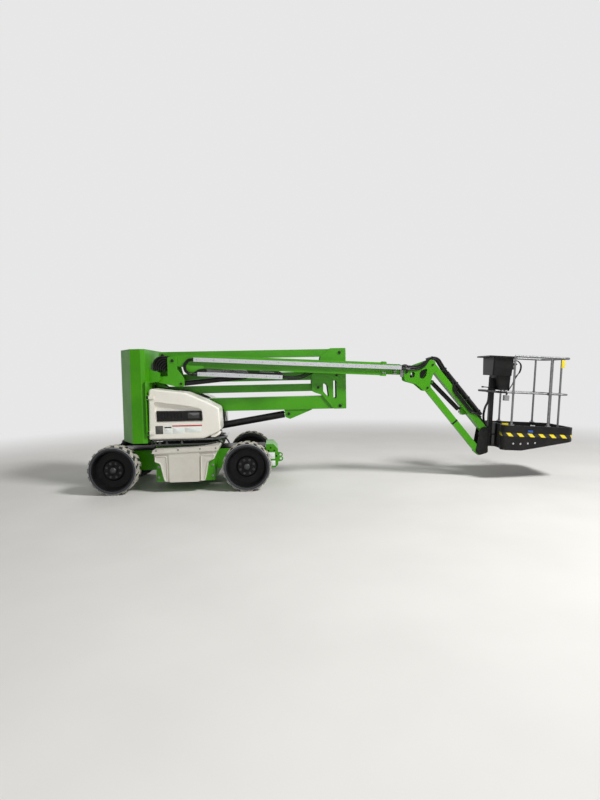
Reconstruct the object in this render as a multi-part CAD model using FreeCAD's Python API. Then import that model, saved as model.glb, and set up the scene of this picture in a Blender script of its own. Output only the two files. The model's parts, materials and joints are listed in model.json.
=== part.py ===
import FreeCAD, Part
import math
import os

V = FreeCAD.Vector
os.makedirs("parts", exist_ok=True)

# Articulating boom lift in millimetres: x runs to the cage end, y to the left side, z up from the floor.
# The origin lies on the slewing axis at floor level.

# General fits
plate = 15.0            # side plates of the links
pin_fit = 0.5           # radial play between a pin and its bore
side_gap = 10.0         # play between an arm and the plates beside it
slide_fit = 0.3         # play of wear pads and glands

# Running gear
wheelbase = 1710.0
width_over_tyres = 1500.0
tyre_diameter = 631.0
tyre_width = 260.0
rim_radius = 262.0
lug_depth = 18.0
lug_groove = 46.0       # tangential width of a groove between two lugs
lugs_per_side = 18
kingpin_inset = 230.0   # from the tyre's outer face to the kingpin
spindle_radius = 36.0
axle_beam_height = 120.0
axle_beam_depth = 110.0
steer_gap = 3.0         # vertical play of a steering knuckle in its yoke

# Chassis
belly_height = 140.0
deck_height = 590.0
spine_half_width = 235.0
spine_bottom = 230.0
spine_top = 500.0
tub_half_width = 425.0
front_box_length = 165.0
front_box_half_width = 260.0
front_box_top = 545.0
front_box_front = 1265.0
lashing_level = 330.0   # height of the lashing eyes at both ends
pod_outer = 700.0       # outer face of a side pod from the middle

# Turret
ring_radius = 330.0
ring_top = 655.0
base_plate = 25.0
link_half = 100.0       # inner face of the turret and knuckle side plates
mast_front = -425.0
mast_top = 1866.0
mast_bottom = 645.0
back_plate = 15.0
cross_bottom = 1420.0   # plate behind the turret's side plates that carries the mast
cross_top = 1600.0
hood_inner = 172.0
hood_outer = 622.0
hood_wall = 8.0
hood_bottom = 690.0
hood_hinge = (-400.0, 640.0)  # upright hinge pins of the hoods, at both sides
hinge_levels = (760.0, 1220.0)
hinge_height = 40.0
gusset_y = 415.0        # outer face of the two gussets on the mast

# Riser linkage: pin places (x, z) at rest
lower_pin = (-50.0, 1044.0)
lower_length = 2204.0
lower_tie_shift = (-305.0, 265.0)
upper_rise = 747.0      # from the lower arm's end pin up to the upper arm's pin
upper_overhang = 239.0  # how far the upper arm reaches past the lower pin
upper_tie_shift = (-45.0, -320.0)
arm_half_width = 90.0
tie_half_width = 60.0
wall = 8.0              # wall of the box sections
riser_foot = (140.0, 745.0)
riser_lug = (1430.0, 945.0)
bracket_half = 125.0    # inner face of the boom bracket's plates beside the upper arm

# Telescopic boom
boom_y = -220.0         # middle plane of boom, jib and cage
boom_tilt = 3.34        # nose down at rest, degrees
boom_pin = (-130.0, 1715.0)
boom_start = 140.0      # from the pin, along the boom
boom_end = 2915.0
boom_height = 178.0
boom_width = 130.0
inner_start = 500.0
inner_end = 3105.0
pad_gap = 8.0           # between the inner section and the tube round it
luff_foot = (-20.0, 1402.0)
luff_lug = (950.0, 1490.0)
jib_head_pin = (3057.0, 1499.0)

# Jib
jib_pin = (3348.0, 1275.0)
jib_length = 1170.0
jib_angle = 51.5        # below level at rest, degrees
jib_tie_shift = (75.0, 315.0)
jib_eye = 43.0
jib_ram_foot = (3438.0, 1348.0)
jib_ram_run = (800.0, 80.0)   # rod eye on the tie, along it and across it
jib_half_width = 70.0

# Cage
cage_tilt = 3.7         # nose down at rest, degrees
cage_axis = (4233.0, 430.0)   # rotator axis and the level of the tray's lowest edge
tray_end = 1031.0       # outer end, from the rotator axis
tray_half_width = 380.0
tray_wall = 22.0
tray_rim = 334.0
floor_level = 150.0
floor_thickness = 25.0
rail_end = 920.0        # outer end of the rails, from the rotator axis
mid_rail = 776.0
top_rail = 1265.0
rail_radius = 15.0
post_radius = 14.0

# Rams: half gaps between the two cheeks that hold a rod's head
riser_cheek = 58.0
luff_cheek = 50.0
jib_cheek = 27.0
cheek_play = 2.0
chamber_start = 65.0    # from the foot's pin to the bottom of the bore

# Derived sizes
tyre_radius = tyre_diameter / 2
axle_x = wheelbase / 2
tyre_outer = width_over_tyres / 2
kingpin_y = tyre_outer - kingpin_inset
plate_outer = link_half + plate
upper_length = lower_length + upper_overhang


# Small helpers for shapes

def box(x0, x1, y0, y1, z0, z1):
    return Part.makeBox(x1 - x0, y1 - y0, z1 - z0, V(x0, y0, z0))


def rod_y(x, z, radius, y0, y1):
    return Part.makeCylinder(radius, y1 - y0, V(x, y0, z), V(0, 1, 0))


def rod_z(x, y, radius, z0, z1):
    return Part.makeCylinder(radius, z1 - z0, V(x, y, z0), V(0, 0, 1))


def rod_between(start, end, radius):
    run = V(*end) - V(*start)
    return Part.makeCylinder(radius, run.Length, V(*start), run)


# Closed outline from corners (a, b, radius); each radius above zero becomes a tangent arc
def outline(corners, place):
    edges = []
    starts = []
    ends = []
    count = len(corners)
    for i in range(count):
        a, b, radius = corners[i]
        here = V(a, b, 0)
        before = V(corners[i - 1][0], corners[i - 1][1], 0) - here
        after = V(corners[(i + 1) % count][0], corners[(i + 1) % count][1], 0) - here
        before.normalize()
        after.normalize()
        if radius > 0:
            half = before.getAngle(after) / 2
            reach = radius / math.tan(half)
            middle = before + after
            middle.normalize()
            tip = here + middle * (radius / math.sin(half) - radius)
            first = here + before * reach
            last = here + after * reach
            starts.append(first)
            ends.append(last)
            edges.append(Part.Arc(place(first), place(tip), place(last)).toShape())
        else:
            starts.append(here)
            ends.append(here)
    for i in range(count):
        first = ends[i]
        last = starts[(i + 1) % count]
        if (last - first).Length > 1e-4:
            edges.append(Part.LineSegment(place(first), place(last)).toShape())
    return Part.Wire(Part.__sortEdges__(edges))


# Prism of an x-z outline between two y planes
def side_prism(corners, y0, y1):
    wire = outline(corners, lambda p: V(p.x, y0, p.y))
    return Part.Face(wire).extrude(V(0, y1 - y0, 0))


# Prism of an x-y outline between two heights
def plan_prism(corners, z0, z1):
    wire = outline(corners, lambda p: V(p.x, p.y, z0))
    return Part.Face(wire).extrude(V(0, 0, z1 - z0))


# Plate with round ends between two x-z points
def link_plate(first, first_radius, last, last_radius, y0, y1):
    run = V(last[0] - first[0], 0, last[1] - first[1])
    lean = math.asin((first_radius - last_radius) / run.Length)
    along = math.atan2(run.z, run.x)
    rims = []
    for sign in (1, -1):
        turn = along + sign * (math.pi / 2 - lean)
        rims.append((V(first[0] + first_radius * math.cos(turn), y0, first[1] + first_radius * math.sin(turn)),
                     V(last[0] + last_radius * math.cos(turn), y0, last[1] + last_radius * math.sin(turn))))
    back = V(first[0] - first_radius * math.cos(along), y0, first[1] - first_radius * math.sin(along))
    front = V(last[0] + last_radius * math.cos(along), y0, last[1] + last_radius * math.sin(along))
    edges = [Part.LineSegment(rims[0][0], rims[0][1]), Part.Arc(rims[0][1], front, rims[1][1]),
             Part.LineSegment(rims[1][1], rims[1][0]), Part.Arc(rims[1][0], back, rims[0][0])]
    return Part.Face(Part.Wire([e.toShape() for e in edges])).extrude(V(0, y1 - y0, 0))


# Tube along a path of points with arcs of one radius at the inner points
def bent_rod(points, radius, bend):
    edges = []
    here = V(*points[0])
    for i in range(1, len(points) - 1):
        corner = V(*points[i])
        before = V(*points[i - 1]) - corner
        after = V(*points[i + 1]) - corner
        before.normalize()
        after.normalize()
        half = before.getAngle(after) / 2
        reach = bend / math.tan(half)
        middle = before + after
        middle.normalize()
        first = corner + before * reach
        last = corner + after * reach
        edges.append(Part.LineSegment(here, first).toShape())
        edges.append(Part.Arc(first, corner + middle * (bend / math.sin(half) - bend), last).toShape())
        here = last
    edges.append(Part.LineSegment(here, V(*points[-1])).toShape())
    path = Part.Wire(edges)
    start = V(*points[0])
    section = Part.Wire(Part.makeCircle(radius, start, V(*points[1]) - start))
    return path.makePipeShell([section], True, False)


def fused(shapes):
    return shapes[0].multiFuse(shapes[1:]).removeSplitter()


def bored(shape, bores):
    return shape.cut(Part.makeCompound(bores))


def save(name, shape):
    shape.exportStep("parts/" + name + ".step")


def mirrored(shape):
    return shape.mirror(V(0, 0, 0), V(0, 1, 0))


# Nose-down turn about the y axis through an x-z point
def tipped(shape, point, degrees):
    turned = shape.copy()
    turned.rotate(V(point[0], 0, point[1]), V(0, 1, 0), degrees)
    return turned


def moved(point, shift):
    return (point[0] + shift[0], point[1] + shift[1])


# Wheels: solid tyre with two staggered rows of lugs, dished steel rim

def tyre(x):
    shoulder = 14.0
    crown = tyre_radius
    outer = tyre_width
    bore = rim_radius + slide_fit
    section = [(12, bore), (0, bore + 12), (0, crown - lug_depth - 8), (shoulder, crown),
               (outer - shoulder, crown), (outer, crown - lug_depth - 8), (outer, bore + 12), (outer - 12, bore)]
    points = [V(0, s, r) for s, r in section]
    face = Part.Face(Part.makePolygon(points + [points[0]]))
    ring = face.revolve(V(0, 0, 0), V(0, 1, 0), 360)
    pitch = 360.0 / lugs_per_side
    reach = outer / 2 + 12
    grooves = []
    for row, start, lean in ((0, -12.0, 16.0), (1, outer - reach + 12, -16.0)):
        for i in range(lugs_per_side):
            groove = box(-lug_groove / 2, lug_groove / 2, start, start + reach, crown - lug_depth, crown + 5)
            groove.rotate(V(0, start + reach / 2, 0), V(0, 0, 1), lean)
            groove.rotate(V(0, 0, 0), V(0, 1, 0), (i + row / 2) * pitch)
            grooves.append(groove)
    tread = ring.cut(Part.makeCompound(grooves))
    tread.translate(V(x, -tyre_outer, tyre_radius))
    return tread


def rim(x):
    lip = 6.0
    dish = 98.0
    section = [(58, 0), (58, 48), (72, 56), (72, 118), (dish, 140), (dish, 226), (22, 246), (lip, 250),
               (lip, rim_radius), (tyre_width - lip, rim_radius), (tyre_width - lip, 250), (150, 240),
               (dish + 20, 226), (dish + 20, 140), (130, 118), (168, 96), (168, spindle_radius + pin_fit),
               (dish + 4, spindle_radius + pin_fit), (dish + 4, 0)]
    points = [V(0, s, r) for s, r in section]
    face = Part.Face(Part.makePolygon(points + [points[0]]))
    disc = face.revolve(V(0, 0, 0), V(0, 1, 0), 360)
    bolts = []
    for i in range(8):
        turn = math.radians(22.5 + i * 45)
        bolts.append(rod_y(93 * math.cos(turn), 93 * math.sin(turn), 9, 60, 74))
    disc = fused([disc] + bolts)
    disc.translate(V(x, -tyre_outer, tyre_radius))
    return disc


def wheels():
    for end, x in (("front", axle_x), ("rear", -axle_x)):
        tread = tyre(x)
        disc = rim(x)
        save("tyre_" + end + "_right", tread)
        save("tyre_" + end + "_left", mirrored(tread))
        save("rim_" + end + "_right", disc)
        save("rim_" + end + "_left", mirrored(disc))


# Axles and steering

def spindle(x, inner):
    tip = tyre_outer - 102.0 - pin_fit * 2
    return rod_y(x, tyre_radius, spindle_radius, -tip, -inner)


def steering_knuckle():
    yoke_half = axle_beam_height / 2 + 18
    body = rod_z(axle_x, -kingpin_y, 38, tyre_radius - yoke_half + steer_gap, tyre_radius + yoke_half - steer_gap)
    pin = rod_z(axle_x, -kingpin_y, 18, tyre_radius - yoke_half - 30, tyre_radius + yoke_half + 30)
    return fused([body, pin, spindle(axle_x, kingpin_y)])


def front_axle():
    half = axle_beam_height / 2
    yoke = half + 18
    beam_end = kingpin_y - 62
    beam = box(axle_x - axle_beam_depth / 2, axle_x + axle_beam_depth / 2, -beam_end, beam_end,
               tyre_radius - half, tyre_radius + half)
    pieces = [beam]
    for side in (-1, 1):
        cheek = box(axle_x - 42, axle_x + 42, min(side * (beam_end - 5), side * (beam_end + 14)),
                    max(side * (beam_end - 5), side * (beam_end + 14)),
                    tyre_radius - yoke - 22, tyre_radius + yoke + 22)
        pieces.append(cheek)
        for level in (tyre_radius - yoke - 22, tyre_radius + yoke):
            pieces.append(plan_ear(side, level))
    axle = fused(pieces)
    bores = [rod_z(axle_x, side * kingpin_y, 18 + pin_fit, 0, 700) for side in (-1, 1)]
    ram = rod_between((axle_x - 95, -150, tyre_radius), (axle_x - 95, 150, tyre_radius), 32)
    feet = [box(axle_x - 110, axle_x - axle_beam_depth / 2 + 5, side * 120 - 15, side * 120 + 15,
                tyre_radius - 34, tyre_radius + 34) for side in (-1, 1)]
    return fused([bored(axle, bores), ram] + feet)


# Flat ear round a kingpin
def plan_ear(side, level):
    edge = kingpin_y - 70
    corners = [(axle_x - 42, side * edge, 0), (axle_x + 42, side * edge, 0),
               (axle_x + 42, side * (kingpin_y + 40), 30), (axle_x - 42, side * (kingpin_y + 40), 30)]
    return plan_prism(corners, level, level + 22)


def rear_axle():
    half = axle_beam_height / 2
    flange = kingpin_y + 50
    beam = box(-axle_x - 60, -axle_x + 60, -flange + 90, flange - 90, tyre_radius - half, tyre_radius + half)
    pieces = [beam]
    for side in (-1, 1):
        drum = rod_y(-axle_x, tyre_radius, 88, min(side * (flange - 110), side * flange),
                     max(side * (flange - 110), side * flange))
        tip = spindle(-axle_x, kingpin_y)
        pieces.append(drum)
        pieces.append(tip if side < 0 else mirrored(tip))
    return fused(pieces)


# Chassis

def chassis_frame():
    spine = plan_prism([(-axle_x - 230, -180, 0), (-axle_x - 120, -spine_half_width, 0),
                        (-axle_x + 400, -spine_half_width, 0), (axle_x + 245, -spine_half_width, 0),
                        (axle_x + 245, spine_half_width, 0), (-axle_x + 400, spine_half_width, 0),
                        (-axle_x - 120, spine_half_width, 0), (-axle_x - 230, 180, 0)],
                       spine_bottom, spine_top)
    tub = side_prism([(-330, belly_height, 0), (432, belly_height, 0), (455, 450, 0), (430, deck_height, 0),
                      (-355, deck_height, 0), (-355, 400, 0)], -tub_half_width, tub_half_width)
    flare = []
    for side in (-1, 1):
        flare.append(side_prism([(-323, belly_height, 0), (432, belly_height, 0), (432, 470, 0), (-323, 470, 0)],
                                min(side * (tub_half_width - 5), side * (pod_outer - 90)),
                                max(side * (tub_half_width - 5), side * (pod_outer - 90))))
    hollow = box(-axle_x - 55 - 10, -axle_x + 55 + 10, -spine_half_width - 1, spine_half_width + 1,
                 spine_bottom - 1, tyre_radius + axle_beam_height / 2)
    front_hollow = box(axle_x - 135, axle_x + axle_beam_depth / 2, -spine_half_width - 1, spine_half_width + 1,
                       spine_bottom - 1, tyre_radius + axle_beam_height / 2)
    return fused([spine, tub] + flare).cut(Part.makeCompound([hollow, front_hollow]))


def front_box():
    back = axle_x + 245
    half = front_box_half_width
    body = side_prism([(back, 220, 0), (front_box_front - 40, 220, 20), (front_box_front, 260, 20),
                       (front_box_front, front_box_top - 70, 0), (front_box_front - 60, front_box_top, 0),
                       (back, front_box_top, 0)], -half, half)
    foot = side_prism([(back, belly_height, 0), (front_box_front - 120, belly_height, 0),
                       (front_box_front - 90, 221, 0), (back, 221, 0)], -half + 40, half - 40)
    lugs = []
    for side in (-1, 1):
        ear = link_plate((front_box_front - 20, lashing_level), 45, (front_box_front + 38, lashing_level), 32,
                         side * 180 - 10, side * 180 + 10)
        lugs.append(ear)
    shape = fused([body, foot] + lugs)
    eyes = [rod_y(front_box_front + 38, lashing_level, 16, side * 180 - 20, side * 180 + 20) for side in (-1, 1)]
    return bored(shape, eyes)


def rear_box():
    front = -axle_x - 230
    body = side_prism([(front - 60, 250, 20), (front, 250, 0), (front, spine_top, 0),
                       (front - 60, spine_top - 40, 20)],
                      -spine_half_width + 60, spine_half_width - 60)
    eye_x = front - 112
    lugs = [link_plate((front - 40, lashing_level), 40, (eye_x, lashing_level), 32, side * 120 - 10, side * 120 + 10)
            for side in (-1, 1)]
    eyes = [rod_y(eye_x, lashing_level, 16, side * 120 - 20, side * 120 + 20) for side in (-1, 1)]
    return bored(fused([body] + lugs), eyes)


# White moulded pod: stepped body under a slanted overhanging lip, with one raised panel between two side panels
def side_pod():
    lip = side_prism([(-361, 515, 8), (140, 530, 0), (494, 540, 8), (514, 606, 12), (138, 580, 300), (-338, 568, 12)],
                     -pod_outer, -tub_half_width - slide_fit)
    skin = pod_outer - 26
    body = side_prism([(-332, 535, 0), (-330, 405, 20), (-262, 378, 40), (-226, 205, 20), (-205, 146, 25),
                       (309, 146, 25), (326, 205, 20), (362, 390, 40), (436, 432, 15), (486, 545, 0)],
                      -skin, -(pod_outer - 90) - slide_fit)
    middle = side_prism([(-146, 535, 0), (-144, 140, 12), (240, 140, 12), (246, 538, 0)], -skin - 14, -skin + 1)
    wings = []
    for corners in ([(-326, 484, 20), (-324, 412, 15), (-256, 384, 40), (-220, 205, 20), (-203, 154, 20),
                     (-162, 154, 12), (-168, 484, 30)],
                    [(262, 492, 30), (256, 154, 12), (305, 154, 20), (320, 205, 20), (356, 396, 40),
                     (430, 438, 12), (452, 496, 20)]):
        wings.append(side_prism(corners, -skin - 8, -skin + 1))
    return fused([lip, body, middle] + wings)


# Dark covers over the deck, one each side, on a foot that stands on the deck
def deck_cover():
    lid = plan_prism([(-395, -tub_half_width - 150, 40), (330, -tub_half_width - 150, 40),
                      (440, -tub_half_width, 30), (440, -360, 0), (-395, -360, 0)],
                     deck_height + 16, deck_height + 34)
    foot = box(-340, 330, -tub_half_width + 10, -360, deck_height + slide_fit, deck_height + 17)
    return fused([lid, foot])


# Turret

def slew_ring():
    lower = rod_z(0, 0, ring_radius, deck_height, ring_top - 32)
    upper = rod_z(0, 0, ring_radius - 20, ring_top - 33, ring_top)
    return fused([lower, upper])


def turret_frame():
    base_top = ring_top + base_plate
    base = plan_prism([(mast_front + slide_fit, -500, 0), (430, -500, 60), (560, -250, 60), (560, 250, 60),
                       (430, 500, 60), (mast_front + slide_fit, 500, 0)], ring_top, base_top)
    face = mast_front + slide_fit
    back = box(face, mast_front + back_plate, -link_half - 60, link_half + 60, base_top, cross_top)
    cross = box(face, mast_front + back_plate, -gusset_y, gusset_y, cross_bottom, cross_top)
    side = [(mast_front + back_plate - 1, base_top - 1, 0), (260, base_top - 1, 0), (260, 790, 20), (20, 1125, 60),
            (-290, 1385, 40), (mast_front + back_plate - 1, 1500, 0)]
    pieces = [base, back, cross]
    gusset = [(face, cross_bottom, 0), (-300, cross_bottom + 20, 10), (-275, cross_bottom + 60, 10),
              (-275, cross_top - 40, 20), (face, cross_top, 0)]
    for start in (-plate_outer, link_half):
        pieces.append(side_prism(side, start, start + plate))
    for start in (-gusset_y, gusset_y - plate):
        pieces.append(side_prism(gusset, start, start + plate))
    tie_pin = moved(lower_pin, lower_tie_shift)
    for point, radius in ((lower_pin, 28), (tie_pin, 24), (riser_foot, 24)):
        pieces.append(rod_y(point[0], point[1], radius, -plate_outer - 8, plate_outer + 8))
    shape = fused(pieces)
    hinges = hinge_brackets()
    return fused([shape, hinges, mirrored(hinges)])


# Ears and pins that carry the right hood, on a strip that stands out from the mast
def hinge_brackets():
    x, y = hood_hinge
    pieces = [box(mast_front + slide_fit, mast_front + 10, -y - 9, -gusset_y + 5, cross_bottom, cross_bottom + 30)]
    for level in hinge_levels:
        for start in (level - 12, level + hinge_height + pin_fit):
            pieces.append(box(mast_front + 9, x + 9, -y - 9, -y + 9, start, start + 12 - pin_fit))
        pieces.append(rod_z(x, -y, 5, level - 12, level + hinge_height + 12))
    pieces.append(box(mast_front + slide_fit, mast_front + 10, -y - 9, -y + 80, hinge_levels[0] - 12,
                      cross_bottom + 30))
    return fused(pieces)


# Cast mast with a faceted plan
def counterweight():
    faces = [(-815, 280), (-610, 622), (-478, 630), (mast_front, 606)]
    corners = [(x, -y, 0) for x, y in faces] + [(x, y, 0) for x, y in reversed(faces)]
    return plan_prism(corners, mast_bottom, mast_top)


def hood_profile(inset):
    return [(-404 + inset, hood_bottom + inset, 20), (-392 + inset, 1356 - inset, 45 - inset),
            (-113, 1316 - inset, 300), (79, 1292 - inset, 200), (333, 1178 - inset, 220),
            (510 - inset, 1083 - inset, 60), (524 - inset, 781 + inset / 2, 60), (300, hood_bottom + inset, 60)]


# Moulded hood: shell open towards the middle and the mast, with a sloped recess for the louvre panel
def hood():
    outer = side_prism(hood_profile(0), -hood_outer, -hood_inner)
    rim_edges = [e for e in outer.Edges if abs(e.BoundBox.YMin + hood_outer) < 0.01
                 and abs(e.BoundBox.YMax + hood_outer) < 0.01]
    outer = outer.makeFillet(24, rim_edges)
    inner = side_prism(hood_profile(hood_wall), -hood_outer + 60, -hood_inner + 1)
    rear = box(-420, -404 + hood_wall + 20, -hood_outer + 60, -hood_inner + 1, hood_bottom - 1, 1300)
    floor = box(-405, 300, -hood_outer + 60, -hood_inner + 1, hood_bottom - 1, hood_bottom + 30)
    recess = side_prism([(-315, 912, 30), (300, 912, 30), (292, 1072, 60), (120, 1120, 300), (-325, 1185, 30)],
                        -hood_outer - 1, -hood_outer + 42)
    shell = outer.cut(inner).cut(rear).cut(floor).cut(recess)
    x, y = hood_hinge
    pieces = [shell]
    for level in hinge_levels:
        pieces.append(rod_z(x, -y, 9, level, level + hinge_height))
        pieces.append(box(x, x + 80, -y + 1, -hood_outer + 30, level, level + hinge_height))
    return bored(fused(pieces), [rod_z(x, -y, 5 + pin_fit, 0, 2000)])


# Black panel of upright slots at the bottom of the recess
def louvre_panel():
    back = side_prism([(-300, 922, 10), (286, 922, 10), (280, 1050, 10), (-305, 1060, 10)],
                      -hood_outer + 30, -hood_outer + 42 - slide_fit)
    slots = []
    for i in range(7):
        start = -262 + i * 44
        slots.append(box(start, start + 20, -hood_outer + 29, -hood_outer + 38, 955, 1030))
    return back.cut(Part.makeCompound(slots))


def power_pack():
    return side_prism([(-380, ring_top + base_plate + slide_fit, 10), (280, ring_top + base_plate + slide_fit, 10),
                       (280, 1000, 30), (-380, 1040, 30)], -495, -hood_inner - 30)


# Riser arms: box sections with bored end bosses

def box_arm(first, last, half_height, half_width, bore, end_radius):
    body = box(first[0], last[0], -half_width, half_width, first[1] - half_height, first[1] + half_height)
    hollow = box(first[0] + 2 * end_radius, last[0] - 2 * end_radius, -half_width + wall, half_width - wall,
                 first[1] - half_height + wall, first[1] + half_height - wall)
    ends = [rod_y(p[0], p[1], end_radius, -half_width, half_width) for p in (first, last)]
    arm = fused([body.cut(hollow)] + ends)
    return bored(arm, [rod_y(p[0], p[1], bore, -half_width - 1, half_width + 1) for p in (first, last)])


def lower_arm():
    x0, z0 = lower_pin
    x1 = x0 + lower_length
    outer = [(x0 - 48, z0 - 40, 30), (x1 + 36, z0 - 40, 20), (x1 + 36, z0 + 36, 20), (x1 - 230, z0 + 142, 0),
             (x0 + 160, z0 + 142, 0), (x0 - 48, z0 + 60, 30)]
    inner = [(x0 + 170, z0 - 40 + wall, 0), (x1 - 150, z0 - 40 + wall, 0), (x1 - 150, z0 + 90, 0),
             (x1 - 235, z0 + 142 - wall, 0), (x0 + 170, z0 + 142 - wall, 0)]
    arm = side_prism(outer, -arm_half_width, arm_half_width)
    arm = arm.cut(side_prism(inner, -arm_half_width + wall, arm_half_width - wall))
    lug = [(riser_lug[0] - 62, z0 - 35, 0), (riser_lug[0] - 50, riser_lug[1] - 46, 30),
           (riser_lug[0] + 18, riser_lug[1] - 76, 30), (riser_lug[0] + 324, z0 - 52, 0), (riser_lug[0] + 340, z0 - 35, 0)]
    pieces = [arm]
    for side in (-1, 1):
        near = min(side * riser_cheek, side * (riser_cheek + 14))
        pieces.append(side_prism(lug, near, near + 14))
        near = min(side * (riser_cheek + 13), side * (riser_cheek + 22))
        pieces.append(rod_y(riser_lug[0], riser_lug[1], 26, near, near + 9))
    arm = fused(pieces)
    bores = [rod_y(x0, z0, 28 + pin_fit, -200, 200), rod_y(x1, z0, 28 + pin_fit, -200, 200)]
    return bored(arm, bores)


def lower_tie():
    first = moved(lower_pin, lower_tie_shift)
    return box_arm(first, (first[0] + lower_length, first[1]), 52, tie_half_width, 24 + pin_fit, 52)


def knuckle_pins():
    bottom = moved(lower_pin, (lower_length, 0))
    top = moved(bottom, (0, upper_rise))
    return (bottom, moved(bottom, lower_tie_shift), top, moved(top, upper_tie_shift))


# Two side plates with crescent windows, joined by a back plate and the four pins
def knuckle():
    bottom, tie, top, upper_tie = knuckle_pins()
    x1 = bottom[0]
    side = [(x1 + 88, 1002, 12), (x1 + 88, 1853, 12), (x1 - 130, 1853, 0), (x1 - 265, 1735, 0), (x1 - 290, 1600, 60),
            (x1 - 395, 1480, 60), (x1 - 395, 1250, 60), (x1 - 250, 1200, 60), (x1 - 90, 1002, 20)]
    window = [(x1 - 235, 1250, 20), (x1 - 150, 1150, 12), (x1 - 172, 1330, 30), (x1 - 235, 1390, 20)]
    slit = side_prism([(x1 - 92, 1150, 15), (x1 - 45, 1150, 15), (x1 - 45, 1400, 15), (x1 - 92, 1400, 15)],
                      -plate_outer - 1, plate_outer + 1)
    crescent = side_prism(window, -plate_outer - 1, plate_outer + 1)
    pieces = []
    for start in (-plate_outer, link_half):
        pieces.append(side_prism(side, start, start + plate))
    back = box(x1 + 73, x1 + 88, -link_half - 1, link_half + 1, 1120, 1700)
    pieces.append(back)
    shell = fused(pieces).cut(Part.makeCompound([crescent, slit]))
    pins = [rod_y(p[0], p[1], r, -plate_outer - 8, plate_outer + 8)
            for p, r in ((bottom, 28), (tie, 24), (top, 28), (upper_tie, 20))]
    return fused([shell] + pins)


def bracket_pins():
    top = knuckle_pins()[2]
    rear = moved(top, (-upper_length, 0))
    return rear, moved(rear, upper_tie_shift)


def upper_arm():
    rear = bracket_pins()[0]
    front = knuckle_pins()[2]
    arm = box_arm(rear, front, 52, arm_half_width, 28 + pin_fit, 52)
    bushes = []
    for side in (-1, 1):
        start = min(side * arm_half_width, side * (bracket_half - 5))
        sleeve = rod_y(rear[0], rear[1], 50, start, start + bracket_half - 5 - arm_half_width)
        bushes.append(sleeve)
    arm = fused([arm] + bushes)
    return bored(arm, [rod_y(rear[0], rear[1], 28 + pin_fit, -200, 200)])


def upper_tie():
    rear = bracket_pins()[1]
    front = knuckle_pins()[3]
    return box_arm(rear, front, 58, tie_half_width, 20 + pin_fit, 46)


# Upright bracket between the upper arms and the boom, with a stepped cheek outside the boom
def boom_bracket():
    rear, tie = bracket_pins()
    cheek = boom_y - boom_width / 2 - side_gap
    inside = -bracket_half - plate
    step = tie[1] + 35
    side = [(rear[0] - 50, rear[1] + 50, 30), (tie[0] - 45, tie[1] - 40, 30), (luff_foot[0] - 90, luff_foot[1] - 10, 20),
            (luff_foot[0] - 20, luff_foot[1] - 40, 20), (luff_foot[0] + 40, luff_foot[1] - 20, 30),
            (boom_pin[0] + 75, boom_pin[1] - 20, 40), (boom_pin[0] + 50, rear[1] + 30, 40)]
    far_side = [(rear[0] - 50, rear[1] + 50, 30), (tie[0] - 45, tie[1] - 42, 30), (tie[0] + 60, tie[1] - 42, 30),
                (rear[0] + 70, rear[1] + 50, 30)]
    stepped = [(boom_pin[0] - 66, boom_pin[1] + 56, 30), (boom_pin[0] - 66, step, 15), (tie[0] - 32, step, 20),
               (tie[0] - 32, luff_foot[1] + 34, 30), (luff_foot[0] - 70, luff_foot[1] - 36, 30),
               (luff_foot[0] + 44, luff_foot[1] - 36, 30), (luff_foot[0] + 44, luff_foot[1] + 70, 40),
               (boom_pin[0] + 62, luff_foot[1] + 200, 40), (boom_pin[0] + 62, boom_pin[1] + 56, 30)]
    pieces = [side_prism(side, inside, -bracket_half), side_prism(stepped, cheek - plate, cheek),
              side_prism(far_side, bracket_half, bracket_half + plate)]
    pieces.append(rod_y(rear[0], rear[1], 28, inside - 8, bracket_half + plate + 8))
    pieces.append(rod_y(tie[0], tie[1], 20, cheek - plate - 8, bracket_half + plate + 8))
    pieces.append(rod_y(boom_pin[0], boom_pin[1], 28, cheek - plate - 8, -bracket_half))
    pieces.append(rod_y(luff_foot[0], luff_foot[1], 22, cheek - plate - 8, -bracket_half))
    pieces.append(box(rear[0] - 30, rear[0] + 10, cheek - 1, inside + 1, tie[1] - 20, step))
    return fused(pieces)


# Telescopic boom, drawn level from its pin and then tipped to the parked slope

def along_boom(shape):
    shape.translate(V(boom_pin[0], 0, boom_pin[1]))
    return tipped(shape, boom_pin, boom_tilt)


def boom_box(start, end, height, width, thickness):
    outer = box(start, end, boom_y - width / 2, boom_y + width / 2, -height / 2, height / 2)
    inner = box(start - 1, end + 1, boom_y - width / 2 + thickness, boom_y + width / 2 - thickness,
                -height / 2 + thickness, height / 2 - thickness)
    return outer.cut(inner)


# Point given in the parked machine, as distances along and across the level boom
def boom_local(point):
    turn = math.radians(boom_tilt)
    dx = point[0] - boom_pin[0]
    dz = point[1] - boom_pin[1]
    return (dx * math.cos(turn) - dz * math.sin(turn), dx * math.sin(turn) + dz * math.cos(turn))


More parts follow.
